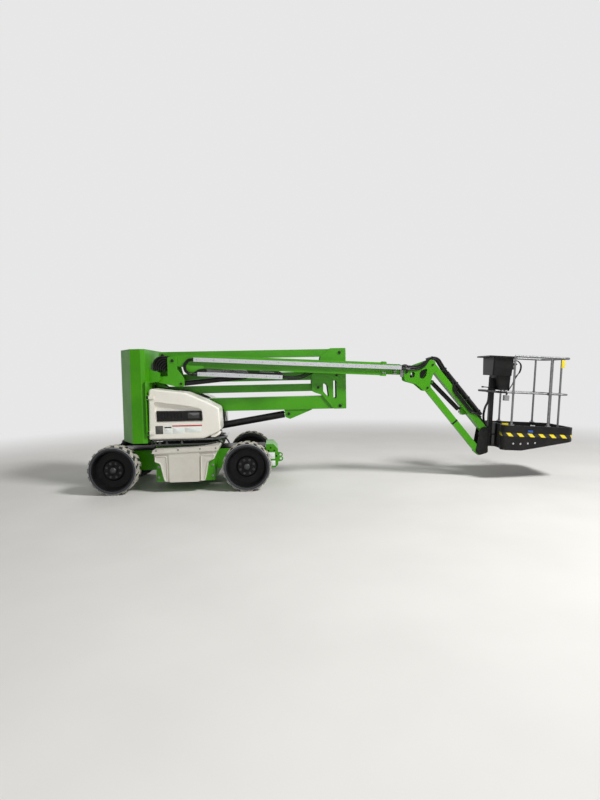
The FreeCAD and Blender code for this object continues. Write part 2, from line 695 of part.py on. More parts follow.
def boom_outer():
    tube = boom_box(boom_start, boom_end, boom_height, boom_width, wall)
    tail = side_prism([(-62, -62, 60), (200, -boom_height / 2 + 4, 0), (200, boom_height / 2 - 4, 0), (-62, 62, 60)],
                      boom_y - boom_width / 2, boom_y + boom_width / 2)
    pieces = [tube, tail]
    collar = boom_box(boom_end - 60, boom_end, boom_height + 16, boom_width + 16, wall + 8)
    pieces.append(collar)
    lug_u, lug_w = boom_local(luff_lug)
    lug = [(lug_u - 90, -boom_height / 2 + 1, 0), (lug_u - 34, lug_w - 34, 30), (lug_u + 34, lug_w - 34, 30),
           (lug_u + 90, -boom_height / 2 + 1, 0)]
    for side in (-1, 1):
        near = boom_y + min(side * luff_cheek, side * (luff_cheek + 12))
        pieces.append(side_prism(lug, near, near + 12))
        near = boom_y + min(side * (luff_cheek + 11), side * (luff_cheek + 20))
        pieces.append(rod_y(lug_u, lug_w, 26, near, near + 9))
    for start in hanger_starts:
        pieces.append(box(start, start + 40, boom_y - channel_near + channel_depth + slide_fit,
                          boom_y - boom_width / 2 + 30, lower_channel_level, -boom_height / 2 + 1))
    shape = fused(pieces)
    shape = bored(shape, [rod_y(0, 0, 28 + pin_fit, -400, 0)])
    pads = []
    reach = pad_gap - slide_fit
    for side in (-1, 1):
        pads.append(box(boom_end - 90, boom_end - 10, boom_y - 30, boom_y + 30,
                        min(side * (boom_height / 2 - wall), side * (boom_height / 2 - wall - reach)),
                        max(side * (boom_height / 2 - wall), side * (boom_height / 2 - wall - reach))))
    return along_boom(fused([shape] + pads))


def boom_inner():
    height = boom_height - 2 * wall - 2 * pad_gap
    width = boom_width - 2 * wall - 2 * pad_gap
    tube = boom_box(inner_start, inner_end, height, width, 6)
    pin_u, pin_w = boom_local(jib_head_pin)
    nose = side_prism([(inner_end - 60, -height / 2, 0), (inner_end, -height / 2, 0), (pin_u + 30, pin_w - 34, 30),
                       (pin_u + 34, pin_w + 30, 30), (inner_end, height / 2, 0), (inner_end - 60, height / 2, 0)],
                      boom_y - width / 2, boom_y + width / 2)
    arm = fused([tube, nose])
    tongue = box(inner_end - 70, inner_end - 30, boom_y - channel_near + channel_depth, boom_y - width / 2 + 1,
                 upper_channel_level, upper_channel_level + channel_height)
    arm = fused([arm, tongue])
    return along_boom(bored(arm, [rod_y(pin_u, pin_w, 24 + pin_fit, -400, 0)]))


# Grey channels that guide the hoses: the upper one rides with the inner section and opens towards the boom
channel_near = 115.0    # near face of the channels from the boom's middle plane
channel_depth = 42.0
channel_height = 56.0
channel_wall = 3.0
upper_channel_level = -1.0
lower_channel_level = -194.0
hanger_starts = (420.0, 1380.0)  # where the boom's hangers hold the lower channel
hose_gap = 5.0


def hose_channel_upper():
    start = 285
    end = inner_end + 10
    near = boom_y - channel_near
    outer = box(start, end, near, near + channel_depth, upper_channel_level, upper_channel_level + channel_height)
    inner = box(start - 1, end + 1, near + channel_wall, near + channel_depth + 1,
                upper_channel_level + channel_wall, upper_channel_level + channel_height - channel_wall)
    return along_boom(outer.cut(inner))


# The lower channel is an open tray beside the hangers of the outer section
def hose_channel_lower():
    start = 345
    end = 1490
    near = boom_y - channel_near
    far = near + channel_depth
    top = lower_channel_level + channel_height
    outer = box(start, end, near, far, lower_channel_level, top)
    inner = box(start - 1, end + 1, near + channel_wall, far - channel_wall, lower_channel_level + channel_wall, top + 1)
    return along_boom(outer.cut(inner))


# Chain of hose links: a half loop between two straight runs inside the channels
def hose_loop():
    near = boom_y - channel_near + channel_wall + hose_gap
    far = boom_y - channel_near + channel_depth - channel_wall - hose_gap
    top = upper_channel_level + channel_height - channel_wall - hose_gap
    bottom = lower_channel_level + channel_wall + slide_fit
    thickness = channel_height - 2 * channel_wall - 2 * hose_gap
    middle = (top + bottom) / 2
    outer = (top - bottom) / 2
    centre = 265.0
    disc = rod_y(centre, middle, outer, near, far).cut(rod_y(centre, middle, outer - thickness, near - 1, far + 1))
    disc = disc.cut(box(centre, centre + 400, near - 1, far + 1, -400, 400))
    upper = box(centre, 1400, near, far, top - thickness, top)
    lower = box(centre, 640, near, far, bottom, bottom + thickness)
    return along_boom(fused([disc, upper, lower]))


# Jib

def jib_points():
    turn = math.radians(-jib_angle)
    run = (jib_length * math.cos(turn), jib_length * math.sin(turn))
    return jib_pin, moved(jib_pin, run), moved(jib_pin, jib_tie_shift), moved(moved(jib_pin, run), jib_tie_shift)


def jib_ram_eye():
    turn = math.radians(-jib_angle)
    start = jib_points()[2]
    along, across = jib_ram_run
    return (start[0] + along * math.cos(turn) + across * math.sin(turn),
            start[1] + along * math.sin(turn) - across * math.cos(turn))


# Two claw-shaped plates with open middles, from the boom's nose to the pins of the jib
def jib_head():
    top, low = jib_points()[2], jib_points()[0]
    nose = jib_head_pin
    inner = jib_half_width + 5
    side = [(nose[0] - 37, nose[1] - 44, 20), (nose[0] - 25, nose[1] - 119, 20), (nose[0] + 13, nose[1] - 137, 20),
            (nose[0] + 133, nose[1] - 171, 30), (low[0] - 48, low[1] - 43, 40), (low[0] - 3, low[1] - 49, 30),
            (low[0] + 50, low[1] - 13, 30), (low[0] + 40, low[1] + 65, 40), (top[0] + 45, top[1] - 28, 30),
            (top[0] + 39, top[1] + 46, 30), (top[0] - 23, top[1] + 76, 20), (nose[0] + 123, nose[1] + 95, 20),
            (nose[0] + 93, nose[1] + 38, 25), (nose[0] - 37, nose[1] + 34, 20)]
    claw = [(nose[0] + 38, nose[1] - 82, 12), (nose[0] + 108, nose[1] - 74, 12), (nose[0] + 121, nose[1] - 9, 15),
            (nose[0] + 80, nose[1] - 2, 10), (nose[0] + 50, nose[1] - 34, 10)]
    gap = [(low[0] - 110, low[1] + 140, 15), (low[0] - 56, low[1] + 125, 15), (low[0] - 18, low[1] + 165, 15),
           (top[0] - 71, top[1] - 45, 15), (top[0] - 161, top[1] - 75, 15), (top[0] - 183, top[1] - 110, 15)]
    openings = [side_prism(corners, boom_y - 200, boom_y + 200) for corners in (claw, gap)]
    pieces = []
    for start in (boom_y - inner - 8, boom_y + inner):
        pieces.append(side_prism(side, start, start + 8).cut(Part.makeCompound(openings)))
    ear = link_plate((low[0], low[1] + 20), 44, jib_ram_foot, 32, boom_y + inner, boom_y + inner + 8)
    pins = [rod_y(p[0], p[1], r, boom_y - inner - 14, boom_y + inner + 14)
            for p, r in ((nose, 24), (low, 18), (top, 18))]
    pins.append(rod_y(jib_ram_foot[0], jib_ram_foot[1], 16, boom_y + 5, boom_y + inner + 14))
    bridge = rod_y(nose[0] + 131, nose[1] + 71, 18, boom_y - inner - 1, boom_y + inner + 1)
    return fused(pieces + [ear, bridge] + pins)


def jib_beam(first, y0, y1, half_height, bore):
    length = jib_length
    body = box(first[0], first[0] + length, y0, y1, first[1] - half_height, first[1] + half_height)
    hollow = box(first[0] + 90, first[0] + length - 90, y0 + 6, y1 - 6, first[1] - half_height + 6,
                 first[1] + half_height - 6)
    ends = [rod_y(first[0] + shift, first[1], jib_eye, y0, y1) for shift in (0, length)]
    beam = fused([body.cut(hollow)] + ends)
    return bored(beam, [rod_y(first[0] + shift, first[1], bore, -600, 200) for shift in (0, length)])


def jib_arm():
    beam = jib_beam(jib_pin, boom_y - jib_half_width, boom_y - jib_half_width + 62, jib_eye, 18 + pin_fit)
    return tipped(beam, jib_pin, jib_angle)


def jib_tie():
    first = jib_points()[2]
    beam = jib_beam(first, boom_y - jib_half_width, boom_y + jib_half_width, jib_eye, 18 + pin_fit)
    along, across = jib_ram_run
    ram_y = boom_y + 33
    lugs = []
    for start in (ram_y - jib_cheek - 9, ram_y + jib_cheek):
        lugs.append(side_prism([(first[0] + along - 70, first[1] - jib_eye + 4, 0),
                                (first[0] + along - 24, first[1] - across - 24, 20),
                                (first[0] + along + 24, first[1] - across - 24, 20),
                                (first[0] + along + 70, first[1] - jib_eye + 4, 0)], start, start + 9))
    return tipped(fused([beam] + lugs), first, jib_angle)


# Rams: bored barrel with a foot eye, rod with piston and head. The head keeps its pin between two cheeks of the arm

def ram(foot, eye, y, barrel_radius, rod_radius, barrel_end, foot_pin, eye_pin, eye_width, cheek):
    dx = eye[0] - foot[0]
    dz = eye[1] - foot[1]
    length = math.hypot(dx, dz)
    bore = barrel_radius - 7
    tube = Part.makeCylinder(barrel_radius, barrel_end - 30, V(30, y, 0), V(1, 0, 0))
    tube = fused([tube, rod_y(0, 0, foot_pin + 14, y - eye_width / 2, y + eye_width / 2),
                  box(0, 60, y - eye_width / 2, y + eye_width / 2, -foot_pin - 8, foot_pin + 8)])
    chamber = Part.makeCylinder(bore, barrel_end - 40 - chamber_start, V(chamber_start, y, 0), V(1, 0, 0))
    gland = Part.makeCylinder(rod_radius + slide_fit, 60, V(barrel_end - 40, y, 0), V(1, 0, 0))
    tube = tube.cut(chamber).cut(gland).cut(rod_y(0, 0, foot_pin + pin_fit, y - 100, y + 100))
    start = chamber_start + 2
    rod = Part.makeCylinder(rod_radius, length - 20 - start, V(start, y, 0), V(1, 0, 0))
    piston = Part.makeCylinder(bore - slide_fit, 30, V(start, y, 0), V(1, 0, 0))
    head = rod_y(length, 0, eye_pin + 10, y - eye_width / 2, y + eye_width / 2)
    pin = rod_y(length, 0, eye_pin, y - cheek + cheek_play, y + cheek - cheek_play)
    rod = fused([rod, piston, head, pin])
    turn = -math.degrees(math.atan2(dz, dx))
    for piece in (tube, rod):
        piece.rotate(V(0, 0, 0), V(0, 1, 0), turn)
        piece.translate(V(foot[0], 0, foot[1]))
    return tube, rod


def rams():
    table = [("riser", riser_foot, riser_lug, 0.0, 50, 32, 1245, 24, 22, 100, riser_cheek),
             ("luff", luff_foot, luff_lug, boom_y, 35, 22, 880, 22, 22, 84, luff_cheek),
             ("jib", jib_ram_foot, jib_ram_eye(), boom_y + 33, 31, 18, 538, 16, 14, 50, jib_cheek)]
    for name, foot, eye, y, barrel, rod_size, end, foot_pin, eye_pin, eye_width, cheek in table:
        tube, rod = ram(foot, eye, y, barrel, rod_size, end, foot_pin, eye_pin, eye_width, cheek)
        save(name + "_ram_barrel", tube)
        save(name + "_ram_rod", rod)


# Cage: everything is drawn level from the rotator axis and tipped with it

def on_cage(shape):
    shape.translate(V(cage_axis[0], boom_y, cage_axis[1]))
    return tipped(shape, cage_axis, cage_tilt)


rotator_radius = 38.0
rotator_bottom = 20.0
rotator_top = 165.0
lug_half = 35.0


def cage_carrier():
    low, high = jib_points()[1], jib_points()[3]
    inner = jib_half_width + 2
    side = [(low[0] - 52, low[1] + 10, 36), (low[0], low[1] - 44, 40), (high[0] + 46, low[1] - 10, 30),
            (high[0] + 46, high[1] + 20, 36), (high[0], high[1] + 44, 36), (high[0] - 60, high[1] + 20, 36)]
    pieces = []
    for start in (boom_y - inner - 8, boom_y + inner):
        pieces.append(side_prism(side, start, start + 8))
    barrel = on_cage(rod_z(0, 0, rotator_radius, rotator_bottom, rotator_top))
    web_bottom = cage_axis[1] + 38
    web = box(high[0] + 14, high[0] + 34, boom_y - inner - 1, boom_y + inner + 1, web_bottom, web_bottom + 112)
    neck = box(high[0] + 20, cage_axis[0] - 5, boom_y - 28, boom_y + 28, web_bottom, web_bottom + 112)
    pins = [rod_y(p[0], p[1], 18, boom_y - inner - 10, boom_y + inner + 10) for p in (low, high)]
    return fused(pieces + [barrel, web, neck] + pins)


def tray_plan(inset, u_end):
    half = tray_half_width - inset
    end = u_end - inset
    start = 22 + inset
    neck = 85 + inset
    return [(neck, -150 + inset / 2, 20), (start + 32, -250 + inset / 2, 20), (start, -half, 60), (end, -half, 110),
            (end, half, 110), (start, half, 60), (start + 32, 250 - inset / 2, 20), (neck, 150 - inset / 2, 20)]


# Moulded tray: tall at the jib end, shallow at the outer end, open skirt under the floor
def cage_tray():
    shell = plan_prism(tray_plan(0, tray_end), 0, tray_rim)
    above = plan_prism(tray_plan(tray_wall, tray_end), floor_level + floor_thickness, tray_rim + 1)
    below = plan_prism(tray_plan(tray_wall, tray_end), -1, floor_level)
    slope = Part.Face(Part.makePolygon([V(-50, -500, -5), V(300, -500, 0), V(tray_end + 5, -500, floor_level + 4),
                                        V(tray_end + 5, -500, -60), V(-50, -500, -60), V(-50, -500, -5)]))
    slope = slope.extrude(V(0, 1000, 0))
    tray = shell.cut(above).cut(below).cut(slope)
    windows = []
    for u in (190, 290, 390, 490):
        rise = max(0.0, (u - 300) / (tray_end - 300) * floor_level)
        middle = (30 + rise + floor_level) / 2
        windows.append(side_prism([(u - 18, middle - 13, 12), (u + 18, middle - 13, 12), (u + 14, middle + 13, 12),
                                   (u - 14, middle + 13, 12)], -500, 500))
    return on_cage(tray.cut(Part.makeCompound(windows)))


def cage_frame():
    arms = []
    for level in (rotator_bottom - 15 - slide_fit, rotator_top + slide_fit):
        lug = plan_prism([(-lug_half, -lug_half, lug_half - 1), (84, -lug_half, 0), (84, lug_half, 0),
                          (-lug_half, lug_half, lug_half - 1)], level, level + 15)
        arms.append(lug)
    shield = box(66, 85 - slide_fit, -lug_half, lug_half, rotator_bottom - 15, 330)
    post = box(-28, 28, -28, 28, rotator_top + 14, 960)
    cross = bent_rod([(60, -tray_half_width + 18, mid_rail), (-55, -tray_half_width + 18, mid_rail),
                      (-55, tray_half_width - 18, mid_rail), (60, tray_half_width - 18, mid_rail)], rail_radius, 45)
    saddle = box(-60, 0, -24, 24, mid_rail - 20, mid_rail + 20)
    return on_cage(fused(arms + [shield, post, cross, saddle]))


def cage_rails():
    edge = tray_half_width - 18
    end = rail_end
    floor = floor_level + floor_thickness
    top = bent_rod([(150, -edge, top_rail), (end, -edge, top_rail), (end, edge, top_rail), (150, edge, top_rail)],
                   rail_radius, 90)
    middle = bent_rod([(bar_pivot, -edge, mid_rail), (end, -edge, mid_rail), (end, edge, mid_rail), (60, edge, mid_rail)],
                      rail_radius - 2, 90)
    pieces = [top, middle]
    for u, t, base in ((150, -edge, tray_rim), (bar_pivot, -edge, tray_rim), (287, edge, tray_rim),
                       (787, edge, tray_rim), (end, -120, floor), (end, 120, floor)):
        pieces.append(rod_z(u, t, post_radius, base + slide_fit, top_rail))
    pieces.append(rod_between((60, -edge, mid_rail), (150, -edge, mid_rail), rail_radius - 2))
    pieces.append(rod_y(bar_pivot, mid_rail, 6, -edge, -edge + post_radius + bar_hub + 4))
    return on_cage(fused(pieces))


bar_pivot = 651.0       # the post that carries the entry bar
bar_hub = 28.0


def entry_bar():
    t = -tray_half_width + 18 + post_radius + slide_fit
    bar = rod_between((bar_pivot, t + bar_hub / 2, mid_rail), (172, t + bar_hub / 2, mid_rail), 12)
    hub = rod_y(bar_pivot, mid_rail, 20, t, t + bar_hub)
    return on_cage(bored(fused([bar, hub]), [rod_y(bar_pivot, mid_rail, 6 + pin_fit, t - 1, t + bar_hub + 1)]))


# Control box under a moulded cover with a wide flange, on top of the post
def console():
    top = top_rail - 3
    rim = top - 17
    waist = top - 262
    flange = plan_prism([(-150, -250, 30), (241, -250, 30), (241, 250, 30), (-150, 250, 30)], rim, top)
    upper = console_body([(-73, -215), (205, 215)], [(-73, -190), (198, 190)], rim + 1, waist)
    lower = console_body([(4, -150), (205, 150)], [(40, -130), (205, 130)], waist + 1, top - 462)
    slot = box(-28 - slide_fit, 28 + slide_fit, -28 - slide_fit, 28 + slide_fit, 700, 960 + slide_fit)
    return on_cage(fused([flange, upper, lower]).cut(slot))


# Tapered box between two rounded rectangles, each given by two opposite corners
def console_body(high, low, high_level, low_level):
    sections = []
    for (first, last), level in ((high, high_level), (low, low_level)):
        corners = [(first[0], first[1], 30), (last[0], first[1], 30), (last[0], last[1], 30), (first[0], last[1], 30)]
        sections.append(outline(corners, lambda p, z=level: V(p.x, p.y, z)))
    return Part.makeLoft(sections, True)


def root_parts():
    save("chassis_frame", chassis_frame())
    save("front_box", front_box())
    save("rear_box", rear_box())
    save("front_axle", front_axle())
    save("rear_axle", rear_axle())
    pod = side_pod()
    save("side_pod_right", pod)
    save("side_pod_left", mirrored(pod))
    cover = deck_cover()
    save("deck_cover_right", cover)
    save("deck_cover_left", mirrored(cover))
    save("slew_ring", slew_ring())
    knuckle_right = steering_knuckle()
    save("steering_knuckle_right", knuckle_right)
    save("steering_knuckle_left", mirrored(knuckle_right))


def turret_parts():
    save("turret_frame", turret_frame())
    save("counterweight", counterweight())
    for name, shape in (("hood", hood()), ("louvre_panel", louvre_panel()), ("power_pack", power_pack())):
        save(name + "_right", shape)
        save(name + "_left", mirrored(shape))


def arm_parts():
    save("lower_arm", lower_arm())
    save("lower_tie", lower_tie())
    save("knuckle", knuckle())
    save("upper_arm", upper_arm())
    save("upper_tie", upper_tie())
    save("boom_bracket", boom_bracket())
    save("boom_outer", boom_outer())
    save("boom_inner", boom_inner())
    save("hose_channel_upper", hose_channel_upper())
    save("hose_channel_lower", hose_channel_lower())
    save("hose_loop", hose_loop())
    save("jib_head", jib_head())
    save("jib_arm", jib_arm())
    save("jib_tie", jib_tie())
    rams()


def cage_parts():
    save("cage_carrier", cage_carrier())
    save("cage_tray", cage_tray())
    save("cage_frame", cage_frame())
    save("cage_rails", cage_rails())
    save("entry_bar", entry_bar())
    save("console", console())


wheels()
root_parts()
turret_parts()
arm_parts()
cage_parts()
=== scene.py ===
import bmesh
import bpy
import json
import numpy as np
from mathutils import Matrix

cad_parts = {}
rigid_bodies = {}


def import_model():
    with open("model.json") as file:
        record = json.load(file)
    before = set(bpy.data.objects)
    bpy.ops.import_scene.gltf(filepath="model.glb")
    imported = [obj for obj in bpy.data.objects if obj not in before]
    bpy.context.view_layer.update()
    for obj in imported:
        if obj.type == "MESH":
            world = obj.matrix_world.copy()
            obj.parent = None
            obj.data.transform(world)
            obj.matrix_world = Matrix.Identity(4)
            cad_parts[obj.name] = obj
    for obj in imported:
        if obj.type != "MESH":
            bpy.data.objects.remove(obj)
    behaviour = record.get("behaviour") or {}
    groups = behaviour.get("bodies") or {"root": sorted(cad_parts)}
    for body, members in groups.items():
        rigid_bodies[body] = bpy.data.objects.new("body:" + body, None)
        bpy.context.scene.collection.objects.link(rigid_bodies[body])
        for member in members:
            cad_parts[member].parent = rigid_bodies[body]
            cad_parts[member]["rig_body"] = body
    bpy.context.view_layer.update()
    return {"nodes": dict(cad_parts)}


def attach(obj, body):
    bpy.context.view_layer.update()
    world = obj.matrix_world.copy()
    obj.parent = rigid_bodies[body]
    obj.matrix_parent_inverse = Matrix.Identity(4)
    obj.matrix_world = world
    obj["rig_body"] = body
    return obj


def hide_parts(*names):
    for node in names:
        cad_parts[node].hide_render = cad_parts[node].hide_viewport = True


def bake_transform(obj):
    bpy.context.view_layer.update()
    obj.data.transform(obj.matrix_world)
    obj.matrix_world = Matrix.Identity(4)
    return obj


# Articulating boom lift: x runs to the cage, y to the left side, z up, in metres.
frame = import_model()


# Colours: each sRGB channel c turns to c/12.92 below 0.04045 and ((c+0.055)/1.055)^2.4 above it.
def linear(hexText):
    c = np.array([int(hexText[i:i + 2], 16) for i in (1, 3, 5)]) / 255
    c = np.where(c < 0.04045, c / 12.92, ((c + 0.055) / 1.055) ** 2.4)
    return (*c.tolist(), 1.0)


# Adds one shader node with its settings and the sockets that feed it.
def addNode(tree, kind, settings=None, links=None, **fields):
    node = tree.nodes.new(kind)
    for name, value in fields.items():
        setattr(node, name, value)
    for name, value in (settings or {}).items():
        node.inputs[name].default_value = value
    for name, source in (links or {}).items():
        tree.links.new(source, node.inputs[name])
    return node


# A surface: base colour varied by cloudy noise, a film of dust, fine grain as bump, roughness varied.
# Scales come from real sizes in millimetres: noise scale is about 1000 / size.
def surface(name, look):
    material = bpy.data.materials.new(name)
    material.use_nodes = True
    tree = material.node_tree
    tree.nodes.clear()
    where = addNode(tree, "ShaderNodeTexCoord").outputs["Object"]
    cloud = addNode(tree, "ShaderNodeTexNoise", {"Scale": 1000 / look.get("cloudMm", 400), "Detail": 5.0},
                    {"Vector": where})
    cloudShare = addNode(tree, "ShaderNodeMapRange", {"From Min": 0.35, "From Max": 0.65},
                         {"Value": cloud.outputs["Fac"]})
    colour = addNode(tree, "ShaderNodeMix", {6: linear(look["colour"]), 7: linear(look.get("second", look["colour"]))},
                     {0: cloudShare.outputs[0]}, data_type="RGBA").outputs[2]
    if "dust" in look:
        speck = addNode(tree, "ShaderNodeTexNoise", {"Scale": 1000 / look.get("dustMm", 60), "Detail": 8.0,
                                                     "Roughness": 0.7}, {"Vector": where})
        low, high = look.get("dustBand", (0.45, 0.8))
        share = addNode(tree, "ShaderNodeMapRange", {"From Min": low, "From Max": high, "To Max": look["dust"]},
                        {"Value": speck.outputs["Fac"]})
        colour = addNode(tree, "ShaderNodeMix", {7: linear(look.get("dustColour", "#B9AF9F"))},
                         {0: share.outputs[0], 6: colour}, data_type="RGBA").outputs[2]
    grain = addNode(tree, "ShaderNodeTexNoise", {"Scale": 1000 / look.get("grainMm", 4), "Detail": 3.0},
                    {"Vector": where})
    rough = addNode(tree, "ShaderNodeMapRange", {"To Min": look["rough"][0], "To Max": look["rough"][1]},
                    {"Value": cloud.outputs["Fac"]})
    bump = addNode(tree, "ShaderNodeBump", {"Strength": look.get("bump", 0.1),
                                            "Distance": look.get("bumpMm", 0.3) / 1000},
                   {"Height": grain.outputs["Fac"]})
    shader = addNode(tree, "ShaderNodeBsdfPrincipled",
                     {"Metallic": look.get("metal", 0.0), "IOR": look.get("ior", 1.5),
                      "Coat Weight": look.get("coat", 0.0), "Coat Roughness": look.get("coatRough", 0.08),
                      "Sheen Weight": look.get("sheen", 0.0)},
                     {"Base Color": colour, "Roughness": rough.outputs[0], "Normal": bump.outputs[0]})
    addNode(tree, "ShaderNodeOutputMaterial", links={"Surface": shader.outputs[0]})
    return material


finishes = {
    # two-pack enamel sprayed on welded steel: gloss, faint orange peel of about 3 mm, a little dust
    "greenEnamel": {"colour": "#459B00", "second": "#3C8E00", "cloudMm": 500, "rough": (0.24, 0.36), "grainMm": 3,
                    "bump": 0.05, "dust": 0.03, "ior": 1.35},
    # the same enamel on a sand-cast mast: pits of about 6 mm show through it
    "paintedCasting": {"colour": "#449800", "second": "#3B8B00", "cloudMm": 300, "rough": (0.34, 0.48), "grainMm": 6,
                       "bump": 0.2, "bumpMm": 0.7, "dust": 0.03, "ior": 1.33},
    # black semi-gloss enamel on axles and carriers, dusty
    "blackEnamel": {"colour": "#0A0A0B", "second": "#101011", "rough": (0.38, 0.5), "grainMm": 3,
                    "dust": 0.03, "ior": 1.32},
    # moulded gel coat, off-white, fine leather-like grain of 2 mm
    "creamGelcoat": {"colour": "#EFECE2", "second": "#E8E4D8", "cloudMm": 700, "rough": (0.32, 0.42), "grainMm": 2,
                     "bump": 0.08, "coat": 0.25, "dust": 0.1, "dustColour": "#C9BFAC"},
    # the same moulded gel coat on the side pods, made darker and greyer as painted shade for the pod sides, with a
    # heavier film of dust
    "greyGelcoat": {"colour": "#D6D3C9", "second": "#CECABF", "cloudMm": 500, "rough": (0.38, 0.5), "grainMm": 2,
                    "bump": 0.1, "coat": 0.15, "dust": 0.22, "dustColour": "#B4AA98"},
    # solid non-marking rubber, pale grey, its lugs whitened by gravel
    "nonMarkingRubber": {"colour": "#B9B4A6", "second": "#97948A", "cloudMm": 60, "rough": (0.75, 0.9), "grainMm": 5,
                         "bump": 0.5, "bumpMm": 1.0, "dust": 0.6, "dustMm": 30, "dustColour": "#D6CFBE"},
    # pressed steel rim in black paint
    "blackRim": {"colour": "#070708", "second": "#0C0C0D", "rough": (0.45, 0.6), "grainMm": 4,
                 "dust": 0.02, "dustMm": 90, "ior": 1.28},
    # rotation-moulded polyethylene: black, matt, peel of 3 mm
    "mouldedPolyethylene": {"colour": "#0A0A0B", "second": "#111112", "rough": (0.38, 0.52), "grainMm": 3, "bump": 0.15,
                            "dust": 0.03, "dustMm": 150, "ior": 1.32},
    # vacuum-formed cover: gloss black that mirrors the sky
    "glossCover": {"colour": "#0E1013", "second": "#15181C", "rough": (0.08, 0.16), "grainMm": 20, "bump": 0.03,
                   "coat": 0.8, "coatRough": 0.05, "dust": 0.08},
    # hot-dip zinc on sheet: pale, with spangle patches of about 12 mm
    "galvanisedSheet": {"colour": "#C3C4C6", "second": "#A5A7AA", "cloudMm": 12, "rough": (0.28, 0.5), "grainMm": 8,
                        "bump": 0.08, "metal": 0.75},
    # zinc-plated tube of the rails, weathered
    "greyTube": {"colour": "#7E7F80", "second": "#656667", "cloudMm": 25, "rough": (0.35, 0.5), "grainMm": 3,
                 "metal": 0.7, "dust": 0.1},
    # hard chrome on ground bar
    "chromedBar": {"colour": "#D2D3D6", "second": "#CACBCE", "rough": (0.06, 0.12), "grainMm": 1, "bump": 0.02,
                   "metal": 1.0},
    # extruded hose rubber with a cloth mark of 2 mm
    "hoseRubber": {"colour": "#0A0A0A", "second": "#111111", "cloudMm": 30, "rough": (0.42, 0.55), "grainMm": 2,
                   "bump": 0.2, "ior": 1.35},
    # zinc-plated nuts, pins and fittings
    "zincPlate": {"colour": "#8C8D8B", "second": "#707170", "cloudMm": 20, "rough": (0.3, 0.45), "grainMm": 2, "metal": 0.85},
    # machined studs and hub cap, dull with dirt
    "wornStud": {"colour": "#47484A", "second": "#333435", "cloudMm": 20, "rough": (0.4, 0.55), "grainMm": 2, "metal": 0.6},
    "paleRubber": {"colour": "#A3A5A6", "second": "#8C8E8F", "cloudMm": 50, "rough": (0.6, 0.75), "grainMm": 3, "bump": 0.2},
    "smokedLens": {"colour": "#08090A", "rough": (0.05, 0.1), "grainMm": 30, "bump": 0.0, "coat": 1.0, "coatRough": 0.03},
    # printed vinyl, left blank
    "blankDark": {"colour": "#4B4C46", "second": "#3F403B", "cloudMm": 60, "rough": (0.35, 0.45)},
    "blankWhite": {"colour": "#EDEFEC", "second": "#DDE7E1", "cloudMm": 80, "rough": (0.3, 0.4)},
    "blankGrey": {"colour": "#8E9090", "second": "#7C7E7E", "cloudMm": 40, "rough": (0.4, 0.55), "grainMm": 2},
    "blankRed": {"colour": "#B3222B", "rough": (0.3, 0.4)},
    "blankBlue": {"colour": "#1F4FA0", "rough": (0.3, 0.4)},
    "blankYellow": {"colour": "#E8D22A", "second": "#DCC41F", "rough": (0.3, 0.42)},
    "stopRed": {"colour": "#C2161C", "rough": (0.22, 0.3), "coat": 0.4},
    # polypropylene battery cases under the hoods
    "batteryCase": {"colour": "#2A2B2E", "second": "#232427", "rough": (0.4, 0.55), "grainMm": 2},
}
paints = {name: surface(name, look) for name, look in finishes.items()}


# Hazard tape: yellow bars on black, leaning by the height times the slope, one bar to each pitch of arc length
def hazardTape(look):
    material = surface("hazardTape", {"colour": look["dark"], "rough": (0.35, 0.5), "grainMm": 3})
    tree = material.node_tree
    shader = next(n for n in tree.nodes if n.type == "BSDF_PRINCIPLED")
    where = addNode(tree, "ShaderNodeSeparateXYZ", links={0: addNode(tree, "ShaderNodeUVMap", uv_map="UVMap").outputs[0]})
    lean = addNode(tree, "ShaderNodeMath", {1: look["slope"]}, {0: where.outputs["Y"]}, operation="MULTIPLY")
    along = addNode(tree, "ShaderNodeMath", links={0: where.outputs["X"], 1: lean.outputs[0]}, operation="ADD")
    cell = addNode(tree, "ShaderNodeMath", {1: look["pitch"]}, {0: along.outputs[0]}, operation="DIVIDE")
    part = addNode(tree, "ShaderNodeMath", links={0: cell.outputs[0]}, operation="FRACT")
    bar = addNode(tree, "ShaderNodeMath", {1: look["share"]}, {0: part.outputs[0]}, operation="LESS_THAN")
    worn = shader.inputs["Base Color"].links[0].from_socket
    colour = addNode(tree, "ShaderNodeMix", {7: linear(look["bright"])}, {0: bar.outputs[0], 6: worn}, data_type="RGBA")
    tree.links.new(colour.outputs[2], shader.inputs["Base Color"])
    return material


paints["hazardTape"] = hazardTape({"dark": "#121212", "bright": "#E6CF2B", "slope": 1.0, "pitch": 0.148, "share": 0.42})


# Tyre: by the radius from the wheel's axle, the side wall and groove floors take a dark grey as painted shade, and the
# lugs keep the pale worn rubber
def tyreRubber(look):
    material = paints["nonMarkingRubber"]
    tree = material.node_tree
    shader = next(n for n in tree.nodes if n.type == "BSDF_PRINCIPLED")
    pale = shader.inputs["Base Color"].links[0].from_socket
    where = addNode(tree, "ShaderNodeSeparateXYZ", links={0: addNode(tree, "ShaderNodeTexCoord").outputs["Object"]})
    reach = addNode(tree, "ShaderNodeMath", links={0: where.outputs["X"]}, operation="ABSOLUTE")
    along = addNode(tree, "ShaderNodeMath", {1: look["axle"]}, {0: reach.outputs[0]}, operation="SUBTRACT")
    height = addNode(tree, "ShaderNodeMath", {1: look["radius"]}, {0: where.outputs["Z"]}, operation="SUBTRACT")
    spot = addNode(tree, "ShaderNodeCombineXYZ", links={"X": along.outputs[0], "Z": height.outputs[0]})
    radius = addNode(tree, "ShaderNodeVectorMath", links={0: spot.outputs[0]}, operation="LENGTH")
    share = addNode(tree, "ShaderNodeMapRange", {"From Min": look["dark"], "From Max": look["pale"]},
                    {"Value": radius.outputs["Value"]})
    colour = addNode(tree, "ShaderNodeMix", {6: linear(look["wall"])}, {0: share.outputs[0], 7: pale}, data_type="RGBA")
    tree.links.new(colour.outputs[2], shader.inputs["Base Color"])
